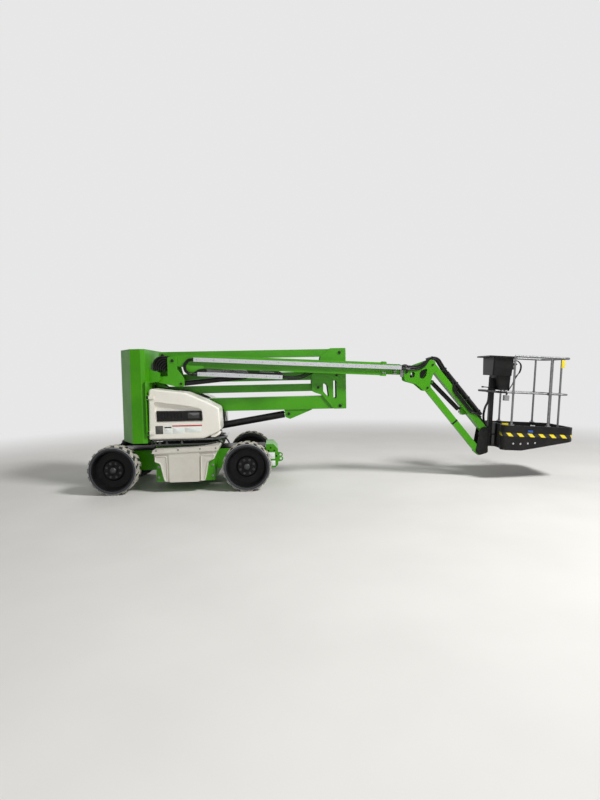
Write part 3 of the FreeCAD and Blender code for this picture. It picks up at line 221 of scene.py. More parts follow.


# the dark grey below the pale radius is painted shade on the side wall and in the grooves
tyreRubber({"axle": 0.855, "radius": 0.3155, "dark": 0.303, "pale": 0.309, "wall": "#343539"})

# Which finish each CAD node wears; the rest is green enamel.
nodeFinish = {
    "counterweight": "paintedCasting",
    "front_axle rear_axle slew_ring steering_knuckle_right steering_knuckle_left": "blackEnamel",
    "cage_carrier cage_frame riser_ram_barrel luff_ram_barrel jib_ram_barrel": "blackEnamel",
    "riser_ram_rod luff_ram_rod jib_ram_rod": "chromedBar",
    "hood_right hood_left": "creamGelcoat",
    "side_pod_right side_pod_left": "greyGelcoat",
    "tyre_front_right tyre_front_left tyre_rear_right tyre_rear_left": "nonMarkingRubber",
    "rim_front_right rim_front_left rim_rear_right rim_rear_left": "blackRim",
    "cage_tray console louvre_panel_right louvre_panel_left": "mouldedPolyethylene",
    "deck_cover_right deck_cover_left": "glossCover",
    "hose_channel_upper hose_channel_lower": "galvanisedSheet",
    "cage_rails entry_bar": "greyTube",
    "hose_loop": "hoseRubber",
    "power_pack_right power_pack_left": "batteryCase",
}
wears = {node: paints[finish] for nodes, finish in nodeFinish.items() for node in nodes.split()}
for name, node in frame["nodes"].items():
    node.data.materials.clear()
    node.data.materials.append(wears.get(name, paints["greenEnamel"]))
print("finishes on the frame")


# Shape tools. A shape is (points, blocks of faces), all worked out as whole arrays.

# Quads of a rows x columns grid of points
def gridFaces(rows, columns, wrapRows=False, wrapColumns=False):
    i, j = np.meshgrid(np.arange(rows - (not wrapRows)), np.arange(columns - (not wrapColumns)), indexing="ij")
    down, across = (i + 1) % rows, (j + 1) % columns
    quads = np.stack([i * columns + j, down * columns + j, down * columns + across, i * columns + across], -1)
    return quads.reshape(-1, 4)


# Grid closed round its columns, with a flat cap on the first and last row
def closedGrid(points):
    rows, columns = points.shape[:2]
    last = np.arange(columns) + (rows - 1) * columns
    return points.reshape(-1, 3), [gridFaces(rows, columns, False, True), np.arange(columns)[None, ::-1], last[None]]


# Turned shape: point(h, t) = (radius(h) cos t, radius(h) sin t, h)
def lathe(profile, steps=24):
    height, radius = np.array(profile, float).T
    t = np.linspace(0, 2 * np.pi, steps, endpoint=False)
    ring = np.stack([np.cos(t), np.sin(t)], -1)
    points = np.concatenate([radius[:, None, None] * ring, np.broadcast_to(height[:, None, None], (len(height), steps, 1))], -1)
    return closedGrid(points)


# Slab: the outline shrunk along its normals by each inset of the profile, at each height
def slab(outline, profile):
    run = np.roll(outline, -1, 0) - np.roll(outline, 1, 0)
    normal = np.stack([run[:, 1], -run[:, 0]], -1) / np.linalg.norm(run, axis=1)[:, None]
    height, inset = np.array(profile, float).T
    flat = outline[None] - inset[:, None, None] * normal[None]
    points = np.concatenate([flat, np.broadcast_to(height[:, None, None], (*flat.shape[:2], 1))], -1)
    return closedGrid(points)


# Plate with a rounded upper edge
def plate(outline, thick, edge=0.001):
    return slab(outline, [(0, 0), (thick - edge, 0), (thick - 0.3 * edge, 0.3 * edge), (thick, edge)])


# Outline of corners (x, y, radius): each corner is an arc of a few points, as whole arrays
def rounded(corners, steps=5):
    c = np.array(corners, float)
    here, radius = c[:, :2], np.maximum(c[:, 2:], 1e-5)
    before, after = np.roll(here, 1, 0) - here, np.roll(here, -1, 0) - here
    before /= np.linalg.norm(before, axis=1)[:, None]
    after /= np.linalg.norm(after, axis=1)[:, None]
    half = np.arccos(np.clip((before * after).sum(1), -1, 1))[:, None] / 2
    reach = radius / np.tan(half)
    t = np.linspace(0, 1, steps)[None, :, None]
    first, last = (here + before * reach)[:, None], (here + after * reach)[:, None]
    weight = np.cos(np.pi / 2 - half)[:, None]
    low, high = (1 - t) ** 2, t ** 2
    middle = 2 * t * (1 - t) * weight
    return ((low * first + middle * here[:, None] + high * last) / (low + middle + high)).reshape(-1, 2)


def roundRect(width, height, radius, steps=5):
    x, y = width / 2, height / 2
    return rounded([(-x, -y, radius), (x, -y, radius), (x, y, radius), (-x, y, radius)], steps)


# Smooth line through points: on each run, the cubic whose slopes are half the step between the neighbours
def throughPoints(points, steps=8):
    p = np.array(points, float)
    p = np.concatenate([2 * p[:1] - p[1:2], p, 2 * p[-1:] - p[-2:-1]])
    a, b, c, d = p[:-3, None], p[1:-2, None], p[2:-1, None], p[3:, None]
    t = np.linspace(0, 1, steps, endpoint=False)[None, :, None]
    line = 0.5 * (2 * b + (c - a) * t + (2 * a - 5 * b + 4 * c - d) * t ** 2 + (3 * b - a - 3 * c + d) * t ** 3)
    return np.concatenate([line.reshape(-1, 3), p[-2:-1]])


# Tube: path(s) + radius(s) (cos t side + sin t other), the side square to the path's flattest plane
def tube(path, radius, sides=10):
    path = np.asarray(path, float)
    along = np.gradient(path, axis=0)
    along /= np.linalg.norm(along, axis=1)[:, None]
    flat = np.linalg.svd(path - path.mean(0))[2][-1]
    side = flat - (along @ flat)[:, None] * along
    side /= np.linalg.norm(side, axis=1)[:, None]
    other = np.cross(along, side)
    t = np.linspace(0, 2 * np.pi, sides, endpoint=False)[None, :, None]
    radius = np.broadcast_to(np.asarray(radius, float), len(path))[:, None, None]
    return closedGrid(path[:, None] + radius * (np.cos(t) * side[:, None] + np.sin(t) * other[:, None]))


def hose(points, radius, sides=10, steps=8):
    return tube(throughPoints(points, steps), radius, sides)


def joined(*shapes):
    starts = np.cumsum([0] + [len(points) for points, _ in shapes[:-1]])
    return (np.concatenate([points for points, _ in shapes]),
            [block + start for (_, blocks), start in zip(shapes, starts) for block in blocks])


# Copies of a shape at several places, each turned by its own 3 x 3 matrix when given
def copies(shape, places, turns=None):
    points, blocks = shape
    places = np.array(places, float).reshape(-1, 3)
    turned = points[None] if turns is None else np.einsum("kij,nj->kni", turns, points)
    shift = (np.arange(len(places)) * len(points))[:, None, None]
    return (turned + places[:, None]).reshape(-1, 3), [(b[None] + shift).reshape(-1, b.shape[1]) for b in blocks]


# Shape drawn on x, y, z moved so that z points along out and x as near as it can along right
def placed(shape, place, out, right=(1, 0, 0)):
    out = np.array(out, float) / np.linalg.norm(out)
    right = np.array(right, float) - out * np.dot(right, out)
    right /= np.linalg.norm(right)
    turn = np.stack([right, np.cross(out, right), out], -1)
    return shape[0] @ turn.T + np.array(place, float), shape[1]


def mirrored(shape):
    return shape[0] * [1, -1, 1], [block[:, ::-1] for block in shape[1]]


# Turn about the y axis, nose down by degrees, from local (along, across, up) to the machine
def leaning(points, start, degrees):
    turn = np.radians(degrees)
    p = np.asarray(points, float)
    x = start[0] + p[..., 0] * np.cos(turn) + p[..., 2] * np.sin(turn)
    z = start[2] - p[..., 0] * np.sin(turn) + p[..., 2] * np.cos(turn)
    return np.stack([x, start[1] + p[..., 1], z], -1)


boomPlace = ((-0.130, -0.22, 1.715), 3.34)
cagePlace = ((4.233, -0.22, 0.430), 3.7)
tiePlace = ((3.423, -0.22, 1.590), 51.5)
armPlace = ((3.348, -0.22, 1.275), 51.5)


def on(place, shape):
    return leaning(shape[0], *place), shape[1]


def hexBolt(across=0.018, height=0.009):
    r = across / np.sqrt(3)
    washer = lathe([(0, 1.25 * r), (0.0022, 1.25 * r), (0.0024, 1.2 * r)], 16)
    head = lathe([(0.002, r), (height - 0.001, r), (height, 0.86 * r)], 6)
    return joined(washer, head)


# One new piece: its mesh, finish and body
def addPiece(name, shape, finish, body, uv=None):
    points, blocks = shape
    mesh = bpy.data.meshes.new(name)
    mesh.from_pydata(points.tolist(), [], [face for block in blocks for face in block.tolist()])
    if uv is not None:
        layer = mesh.uv_layers.new(name="UVMap")
        corner = np.zeros(len(mesh.loops), np.int32)
        mesh.loops.foreach_get("vertex_index", corner)
        layer.data.foreach_set("uv", uv[corner].astype(np.float32).ravel())
    work = bmesh.new()
    work.from_mesh(mesh)
    bmesh.ops.recalc_face_normals(work, faces=work.faces)
    work.to_mesh(mesh)
    work.free()
    mesh.polygons.foreach_set("use_smooth", np.ones(len(mesh.polygons), bool))
    mesh.set_sharp_from_angle(angle=np.radians(35))
    mesh.materials.append(finish)
    piece = bpy.data.objects.new(name, mesh)
    bpy.context.scene.collection.objects.link(piece)
    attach(piece, body)
    return piece


# Wheels: hexagon nuts and a domed cap on the hub, a raised ring on the tyre's side
wheelTrim = {"radius": 0.3155, "axle": 0.855, "outer": 0.75, "nutCircle": 0.093, "nutAcross": 0.023, "nuts": 8,
             "cap": 0.040, "rings": (0.297,), "ringWidth": 0.004}


def makeWheelTrim(look):
    t = np.radians(22.5 + np.arange(look["nuts"]) * 360 / look["nuts"])
    circle = look["nutCircle"] * np.stack([np.cos(t), np.sin(t), 0 * t], -1)
    nut = joined(lathe([(0, 0.017), (0.003, 0.017)], 18),
                 lathe([(0.002, look["nutAcross"] / np.sqrt(3)), (0.016, look["nutAcross"] / np.sqrt(3)), (0.018, 0.012)], 6),
                 lathe([(0.016, 0.008), (0.026, 0.008), (0.028, 0.006)], 12))
    cap = lathe([(0, look["cap"]), (0.012, look["cap"]), (0.02, 0.034), (0.024, 0.022), (0.025, 0.0008)], 32)
    hub = joined(copies(nut, circle + [0, 0, -0.014]), cap)
    bead = joined(*[lathe([(-0.006, r - look["ringWidth"]), (0.0015, r - 0.6 * look["ringWidth"]),
                           (0.003, r), (0.0015, r + 0.6 * look["ringWidth"]), (-0.006, r + look["ringWidth"]),
                           (-0.006, r - look["ringWidth"])], 72) for r in look["rings"]])
    bead = bead[0], [b for b in bead[1] if b.shape[1] == 4]
    for end, x in (("front", look["axle"]), ("rear", -look["axle"])):
        for side, s in (("right", -1), ("left", 1)):
            body = "wheel_" + end + "_" + side
            face = (x, s * (look["outer"] - 0.058), look["radius"])
            addPiece("hub_nuts_" + end + "_" + side, placed(hub, face, (0, s, 0)), paints["wornStud"], body)
            face = (x, s * (look["outer"] - 0.0045), look["radius"])
            addPiece("bead_rings_" + end + "_" + side, placed(bead, face, (0, s, 0)), paints["paleRubber"], body)


makeWheelTrim(wheelTrim)
print("wheels dressed")


# Pins: a chamfered black cap on each pin end, kept from turning by a small painted flag plate with one bolt
pinEnds = {
    "turret": [(-0.05, 1.044, 0.028, (-0.115, 0.115)), (-0.355, 1.309, 0.024, (-0.115, 0.115)),
               (0.14, 0.745, 0.024, (-0.115, 0.115))],
    "knuckle": [(2.154, 1.044, 0.028, (-0.115, 0.115)), (1.849, 1.309, 0.024, (-0.115, 0.115)),
                (2.154, 1.791, 0.028, (-0.115, 0.115)), (2.109, 1.471, 0.02, (-0.115, 0.115))],
    "boom_bracket": [(-0.289, 1.791, 0.028, (-0.14, 0.14)), (-0.334, 1.471, 0.02, (-0.31, 0.14)),
                     (-0.13, 1.715, 0.028, (-0.31,)), (-0.02, 1.402, 0.022, (-0.31,))],
    "boom_outer": [(0.95, 1.49, 0.026, (-0.282, -0.158))],
    "lower_arm": [(1.43, 0.945, 0.026, (-0.072, 0.072))],
    "jib_head": [(3.057, 1.499, 0.024, (-0.303, -0.137)), (3.348, 1.275, 0.018, (-0.303, -0.137)),
                 (3.423, 1.59, 0.018, (-0.303, -0.137))],
    "cage_carrier": [(4.0763, 0.3593, 0.018, (-0.3, -0.14)), (4.1513, 0.6743, 0.018, (-0.3, -0.14))],
}
pinLook = {"stand": 0.008, "capShare": 0.8, "flagReach": 1.7, "flagThick": 0.004, "turn": 35}


def makePinCaps(ends, look):
    a = np.radians(look["turn"])
    for body, rows in ends.items():
        caps, flags = [], []
        for x, z, r, faces in rows:
            reach, half, c = look["flagReach"] * r, 0.42 * r, look["capShare"] * r
            flag = plate(rounded([(-0.9 * r, -half, half / 2), (reach + 0.01, -half, half / 2),
                                  (reach + 0.01, half, half / 2), (-0.9 * r, half, half / 2)]), look["flagThick"])
            flag = joined(flag, placed(hexBolt(0.012, 0.007), (reach, 0, look["flagThick"]), (0, 0, 1)))
            high = look["stand"] - 0.002
            cap = lathe([(0, c), (high + 0.003, c), (high + 0.0045, 0.88 * c)], 24)
            for y in faces:
                out = -1 if y == min(faces) else 1
                where = (x, y, z), (0, out, 0), (np.cos(a) * -out, 0, np.sin(a))
                caps.append(placed(cap, *where))
                flags.append(placed(flag, *where))
        addPiece("pin_caps_" + body, joined(*caps), paints["blackEnamel"], body)
        finish, slot = ("blackEnamel", "black_paint") if body == "cage_carrier" else ("greenEnamel", "green_paint")
        addPiece("pin_flags_" + body, joined(*flags), paints[finish], body)


makePinCaps(pinEnds, pinLook)
print("pins capped")


# Hoods: rubber seal round the inner rim, blades in the louvre slots, dark gauge window, blank plates, foot
hoodTrim = {
    "face": 0.622, "inner": 0.174, "sealRadius": 0.006,
    "rim": [(-0.398, 0.705), (-0.390, 1.330), (-0.360, 1.358), (-0.113, 1.318), (0.079, 1.291), (0.333, 1.172),
            (0.505, 1.075), (0.524, 0.930), (0.521, 0.790), (0.302, 0.694)],
    "slots": (-0.252, 0.044, 7), "slotZ": (0.957, 1.028),
    "window": (0.175, 0.992, 0.17, 0.094),
    "plates": {"blankDark": [(-0.267, 0.815, 0.098, 0.108)],
               "blankWhite": [(-0.155, 0.810, 0.095, 0.092), (-0.022, 0.803, 0.14, 0.078), (0.172, 0.808, 0.205, 0.066)],
               "blankRed": [(0.092, 0.863, 0.385, 0.016)], "blankBlue": [(-0.155, 0.846, 0.09, 0.018)]},
}


def makeHoodTrim(look):
    rim = np.array(look["rim"])
    line = np.stack([rim[:, 0], 0 * rim[:, 0] - look["inner"], rim[:, 1]], -1)
    seal = hose(line, look["sealRadius"], 8, 6)
    start, step, count = look["slots"]
    low, high = look["slotZ"]
    blade = slab(roundRect(0.016, high - low, 0.002, 3), [(0, 0), (0.0015, 0)])
    turn = np.radians(28)
    tilt = np.array([[np.cos(turn), 0, np.sin(turn)], [0, 1, 0], [-np.sin(turn), 0, np.cos(turn)]])
    blade = (blade[0] @ tilt.T, blade[1])
    places = np.stack([start + step * np.arange(count), 0 * np.arange(count) + (low + high) / 2, 0 * np.arange(count)], -1)
    fins = placed(copies(blade, places), (0, -look["face"] + 0.036, 0), (0, -1, 0))
    x, z, width, height = look["window"]
    frameShape = joined(plate(roundRect(width, height, 0.012), 0.006, 0.002))
    window = placed(plate(roundRect(width - 0.02, height - 0.02, 0.006), 0.0015, 0.0005), (x, -look["face"] + 0.024, z), (0, -1, 0))
    bezel = placed(frameShape, (x, -look["face"] + 0.03, z), (0, -1, 0))
    foot = placed(plate(rounded([(0.385, 0.702, 0.01), (0.44, 0.700, 0.02), (0.512, 0.735, 0.02), (0.518, 0.772, 0.01),
                                 (0.40, 0.733, 0.01)]), 0.16, 0.006), (0, -0.43, 0), (0, -1, 0))
    sleeves = joined(*[placed(lathe([(0, 0.0102), (0.0394, 0.0102)], 20), (-0.40, -0.64, level + 0.0003), (0, 0, 1))
                       for level in (0.76, 1.22)])
    for side, flip in (("right", False), ("left", True)):
        body = "hood_" + side
        made = [("hinge_sleeves", sleeves, "blackEnamel", "black_paint"),
                ("hood_seal", seal, "hoseRubber", "hose_rubber"), ("louvre_blades", fins, "blackEnamel", "black_paint"),
                ("gauge_bezel", bezel, "mouldedPolyethylene", "dark_plastic"), ("gauge_window", window, "smokedLens", "dark_plastic"),
                ("hood_foot", foot, "creamGelcoat", "cream_moulding")]
        for finish, rows in look["plates"].items():
            sheets = [placed(plate(roundRect(w, h, 0.004), 0.0012, 0.0004), (px, -look["face"], pz), (0, -1, 0))
                      for px, pz, w, h in rows]
            made.append((finish, joined(*sheets), finish, "cream_moulding"))
        for name, shape, finish, slot in made:
            addPiece(name + "_" + side, mirrored(shape) if flip else shape, paints[finish], body)


makeHoodTrim(hoodTrim)
print("hoods dressed")


# Deck: screws on the pods, bolts and hoses in the dark recess under the hoods, bolts round the slewing ring
deckTrim = {"spineLids": [(0.775, 0.62, 0.45), (-0.68, 0.58, 0.44)], "podScrews": [(-0.30, 0.592), (-0.02, 0.596), (0.26, 0.602), (0.46, 0.606)], "podFace": 0.69,
            "wings": [[(-0.326, 0.484, 0.02), (-0.324, 0.412, 0.015), (-0.256, 0.384, 0.04), (-0.220, 0.205, 0.02),
                       (-0.203, 0.154, 0.02), (-0.162, 0.154, 0.02), (-0.168, 0.484, 0.03)],
                      [(0.262, 0.492, 0.03), (0.256, 0.154, 0.02), (0.305, 0.154, 0.02), (0.320, 0.205, 0.02),
                       (0.356, 0.396, 0.04), (0.430, 0.438, 0.012), (0.452, 0.496, 0.02)]],
            "recessBolts": [(-0.29, 0.50), (-0.198, 0.50), (-0.002, 0.50)], "ringBolts": 28, "ringCircle": 0.32,
            "plateBolts": [(0.405, 0.585, 0.34), (0.405, 0.585, 0.20), (-0.293, 0.585, 0.33), (-0.293, 0.585, 0.19)]}


def makeDeckTrim(look):
    screw = joined(lathe([(0, 0.011), (0.003, 0.011), (0.005, 0.007), (0.005, 0.004), (0.003, 0.003)], 16))
    shapes = [placed(screw, (x, -look["podFace"] - 0.010, z - 0.035), (0, -1, 0)) for x, z in look["podScrews"]]
    stud = joined(hexBolt(0.03, 0.014), lathe([(0.012, 0.009), (0.026, 0.009), (0.028, 0.007)], 14))
    studs = [placed(stud, (x, -y, 0.624), (0, 0, 1)) for x, y in look["recessBolts"]]
    side = [placed(hexBolt(0.022, 0.011), (x, -y - 0.0245, z), (0, -1, 0)) for x, y, z in look["plateBolts"]]
    fixed = joined(*studs, *side)
    t = np.arange(look["ringBolts"]) * 2 * np.pi / look["ringBolts"]
    ring = copies(hexBolt(0.018, 0.010), look["ringCircle"] * np.stack([np.cos(t), np.sin(t), 0 * t], -1) + [0, 0, 0.623])
    addPiece("deck_bolts", joined(fixed, mirrored(fixed), ring), paints["zincPlate"], "chassis")
    addPiece("pod_screws", joined(*shapes, *[mirrored(s) for s in shapes]), paints["zincPlate"], "chassis")
    edge = [(-0.001, 0), (0.009, 0), (0.012, 0.002), (0.013, 0.005), (0.012, 0.009), (0.007, 0.013), (0.006, 0.018)]
    wings = [placed(slab(rounded(corners), edge), (0, -0.682, 0), (0, -1, 0)) for corners in look["wings"]]
    # the raised wings wear the pods' gel coat, whose grey is painted shade
    addPiece("pod_wings", joined(*wings, *[mirrored(w) for w in wings]), paints["greyGelcoat"], "chassis")
    hoses = [hose([(-0.375, -0.40, 0.56), (-0.365, -0.415, 0.60), (-0.335, -0.435 - 0.5 * d, 0.628), (-0.28, -0.45 - d, 0.633),
                   (0.05, -0.445 - d, 0.633), (0.30, -0.41 - d, 0.633), (0.42, -0.335 - d, 0.630), (0.48, -0.29 - d, 0.60),
                   (0.53, -0.24 - d, 0.56), (0.56, -0.21 - d, 0.515)], 0.009) for d in (0.0, 0.024)]
    addPiece("deck_hoses", joined(*hoses, *[mirrored(h) for h in hoses]), paints["hoseRubber"], "chassis")
    lids = [placed(plate(roundRect(width, depth, 0.03), 0.014, 0.005), (x, 0, 0.4995), (0, 0, 1))
            for x, width, depth in look["spineLids"]]
    addPiece("spine_covers", joined(*lids), paints["mouldedPolyethylene"], "chassis")


makeDeckTrim(deckTrim)


# Turret: gloss sheet on the base plate, slewing motor, valve block, hose runs up to the arm pins, lifting eyes
turretTrim = {"bottom": 0.656, "thick": 0.028, "sheet": [(-0.42, -0.503, 0.005), (0.432, -0.503, 0.06), (0.5635, -0.251, 0.06),
                                                         (0.5635, 0.251, 0.06), (0.432, 0.503, 0.06), (-0.42, 0.503, 0.005)]}


def makeTurretTrim(look):
    sheet = placed(plate(rounded(look["sheet"]), look["thick"], 0.003), (0, 0, look["bottom"]), (0, 0, 1))
    addPiece("base_sheet", sheet, paints["glossCover"], "turret")
    motor = joined(lathe([(0, 0.062), (0.05, 0.062), (0.055, 0.05), (0.13, 0.05), (0.136, 0.044)], 32),
                   placed(lathe([(0, 0.016), (0.03, 0.016), (0.034, 0.012)], 16), (0.05, 0, 0.10), (1, 0, 0), (0, 1, 0)))
    motor = placed(motor, (0.42, 0.0, 0.683), (0, 0, 1))
    block = placed(slab(roundRect(0.10, 0.14, 0.006), [(0, 0.002), (0.002, 0), (0.068, 0), (0.07, 0.002)]),
                   (0.33, -0.02, 0.684), (0, 0, 1))
    addPiece("slew_motor", joined(motor), paints["blackEnamel"], "turret")
    addPiece("valve_block", block, paints["zincPlate"], "turret")
    fittings = [placed(joined(lathe([(0, 0.011), (0.014, 0.011)], 6), lathe([(0.012, 0.008), (0.03, 0.008)], 12)),
                       (0.30 + 0.02 * i, -0.02 + 0.05 * j, 0.753), (0, 0, 1)) for i in range(3) for j in (-1, 0, 1)]
    addPiece("block_fittings", joined(*fittings), paints["zincPlate"], "turret")
    runs = [hose([(0.30 + 0.02 * i, -0.02 + 0.05 * j, 0.78), (0.29 + 0.02 * i, -0.02 + 0.045 * j, 0.84),
                  (0.25, 0.078 * j, 0.85 + 0.012 * i), (0.18, 0.088 * j, 0.81), (0.02 + 0.02 * i, 0.092 * j, 0.82),
                  (-0.10, 0.088 * j, 0.90 + 0.02 * i), (-0.20 - 0.018 * i, 0.088 * j, 1.02)], 0.0075, 8) for i in range(3) for j in (-1, 1)]
    addPiece("turret_hoses", joined(*runs), paints["hoseRubber"], "turret")
    eye = joined(lathe([(0, 0.026), (0.008, 0.026), (0.010, 0.022)], 24), lathe([(0.008, 0.016), (0.024, 0.016), (0.026, 0.013)], 6))
    plugs = [placed(eye, (-0.62, s * 0.34, 1.8655), (0, 0, 1)) for s in (-1, 1)]
    plugs = [(np.minimum(p[0], [9, 9, 1.875]), p[1]) for p in plugs]
    bolts = [placed(hexBolt(0.03, 0.014), (-0.4095, s * 0.30, z), (1, 0, 0), (0, 1, 0)) for s in (-1, 1) for z in (1.47, 1.55)]
    bolts += [placed(hexBolt(0.024, 0.012), (-0.4095, s * 0.145, z), (1, 0, 0), (0, 1, 0)) for s in (-1, 1)
              for z in (0.80, 1.0, 1.2, 1.4)]
    addPiece("mast_bolts", joined(*bolts, *plugs), paints["zincPlate"], "turret")


makeTurretTrim(turretTrim)
print("deck and turret dressed")


# Boom: the loop of hoses in place of the plain loop, the hoses that lie on the lower tray, the plate behind
# the loop, collar screws, nose clamp
boomTrim = {"loopCentre": 0.265, "loopRadius": 0.0989, "loopMiddle": -0.0719, "upperEnd": 1.4, "lowerEnd": 0.64,
            "hoseRadius": 0.0062, "clipStep": 0.11}


def makeBoomTrim(look):
    r, centre, middle = look["loopRadius"], look["loopCentre"], look["loopMiddle"]
    turn = np.linspace(np.pi / 2, 1.5 * np.pi, 28)
    bend = np.stack([centre + r * np.cos(turn), middle + r * np.sin(turn)], -1)
    out = np.stack([np.cos(turn), np.sin(turn)], -1)
    upper = np.stack([np.linspace(look["upperEnd"], centre, 12, endpoint=False), np.full(12, middle + r)], -1)
    lower = np.stack([np.linspace(centre, look["lowerEnd"], 7)[1:], np.full(6, middle - r)], -1)
    line = np.concatenate([upper, bend, lower])
    outward = np.concatenate([np.tile([0, 1], (12, 1)), out, np.tile([0, -1], (6, 1))])
    shapes = []
    for across in (-0.1005, -0.0875):
        for lift in (-0.0132, 0.0, 0.0132):
            path = line + lift * outward
            shapes.append(tube(np.stack([path[:, 0], np.full(len(path), across), path[:, 1]], -1), look["hoseRadius"], 10))
    loop = addPiece("hose_bundle", on(boomPlace, joined(*shapes)), paints["hoseRubber"], "hose_loop")
    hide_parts("hose_loop")
    length = np.concatenate([[0], np.cumsum(np.linalg.norm(np.diff(line, axis=0), axis=1))])
    stations = np.arange(0.03, length[-1], look["clipStep"])
    spot = np.stack([np.interp(stations, length, line[:, k]) for k in (0, 1)], -1)
    facing = np.stack([np.interp(stations, length, outward[:, k]) for k in (0, 1)], -1)
    facing /= np.linalg.norm(facing, axis=1)[:, None]
    clip = slab(roundRect(0.0256, 0.0405, 0.004), [(-0.007, 0), (0.007, 0)])
    zero, one = np.zeros(len(spot)), np.ones(len(spot))
    upward = np.stack([facing[:, 0], zero, facing[:, 1]], -1)
    sideways = np.stack([zero, one, zero], -1)
    turns = np.stack([sideways, upward, np.cross(sideways, upward)], -1)
    clips = copies(clip, np.stack([spot[:, 0], zero - 0.094, spot[:, 1]], -1), turns)
    addPiece("hose_clips", on(boomPlace, clips), paints["mouldedPolyethylene"], "hose_loop")
    back = rounded([(0.155, -0.052, 0.01), (0.155, -0.112, 0.05), (0.235, -0.158, 0.05), (0.42, -0.158, 0.01), (0.42, -0.052, 0.01)])
    back = placed(plate(back, 0.0045), (0, -0.0745, 0), (0, -1, 0))
    addPiece("loop_plate", on(boomPlace, back), paints["greenEnamel"], "boom_outer")
    screws = [placed(hexBolt(0.018, 0.008), (a, s * 0.073, b), (0, s, 0)) for s in (-1, 1) for a in (2.87, 2.90)
              for b in (-0.05, 0.05)]
    screws += [placed(hexBolt(0.016, 0.007), (a, 0.03 * s, 0.097), (0, 0, 1)) for a in (2.87, 2.90) for s in (-1, 1)]
    addPiece("collar_screws", on(boomPlace, joined(*screws)), paints["zincPlate"], "boom_outer")
    runs = [hose([(0.30, -0.105 + 0.0105 * j, -0.148), (0.40, -0.105 + 0.0105 * j, -0.132 + 0.0155 * i),
                  (0.70, -0.105 + 0.0105 * j, -0.128 + 0.0155 * i), (1.10, -0.105 + 0.0105 * j, -0.130 + 0.0155 * i),
                  (1.44, -0.105 + 0.0105 * j, -0.128 + 0.0155 * i), (1.50, -0.100 + 0.0105 * j, -0.150)], 0.0072, 8)
            for i in range(3) for j in range(3)]
    addPiece("carried_hoses", on(boomPlace, joined(*runs)), paints["hoseRubber"], "hose_loop")
    runs = [hose([(1.43, -0.064 + 0.004 * i, -0.142 - 0.014 * j), (1.51, -0.064 + 0.005 * i, -0.146 - 0.016 * j),
                  (1.59, -0.054 + 0.009 * i, -0.152 - 0.018 * j), (1.67 + 0.02 * j, -0.040 + 0.010 * i, -0.146 - 0.018 * j),
                  (1.76 + 0.03 * j, -0.030 + 0.010 * i, -0.125 - 0.008 * j), (1.82 + 0.04 * j, -0.025 + 0.010 * i, -0.088)],
                 0.0085, 8) for i in range(3) for j in range(3)]
    addPiece("turning_hoses", on(boomPlace, joined(*runs)), paints["hoseRubber"], "boom_outer")
    clamp = [placed(slab(roundRect(0.05, 0.14, 0.006), [(0, 0.001), (0.001, 0), (0.005, 0), (0.006, 0.001)]),
                    (3.135, -0.062, -0.03), (0, -1, 0))]
    clamp += [placed(joined(lathe([(0, 0.012), (0.016, 0.012)], 6), lathe([(0.014, 0.009), (0.045, 0.009)], 12)),
                     (3.018 + 0.022 * i, -0.074, z), (0, -1, 0)) for i in range(2) for z in (-0.06, -0.028)]
    addPiece("nose_fittings", on(boomPlace, joined(*clamp)), paints["zincPlate"], "boom_inner")
    rivets = [placed(lathe([(0, 0.006), (0.002, 0.005), (0.0026, 0.0008)], 12), (a, -0.115, b), (0, -1, 0))
              for a in np.arange(0.33, 3.0, 0.22) for b in (0.027,)]
    addPiece("channel_rivets_upper", on(boomPlace, joined(*rivets)), paints["zincPlate"], "boom_inner")
    rivets = [placed(lathe([(0, 0.006), (0.002, 0.005), (0.0026, 0.0008)], 12), (a, -0.115, -0.166), (0, -1, 0))
              for a in np.arange(0.37, 1.48, 0.18)]
    addPiece("channel_rivets_lower", on(boomPlace, joined(*rivets)), paints["zincPlate"], "boom_outer")


makeBoomTrim(boomTrim)
print("boom dressed")
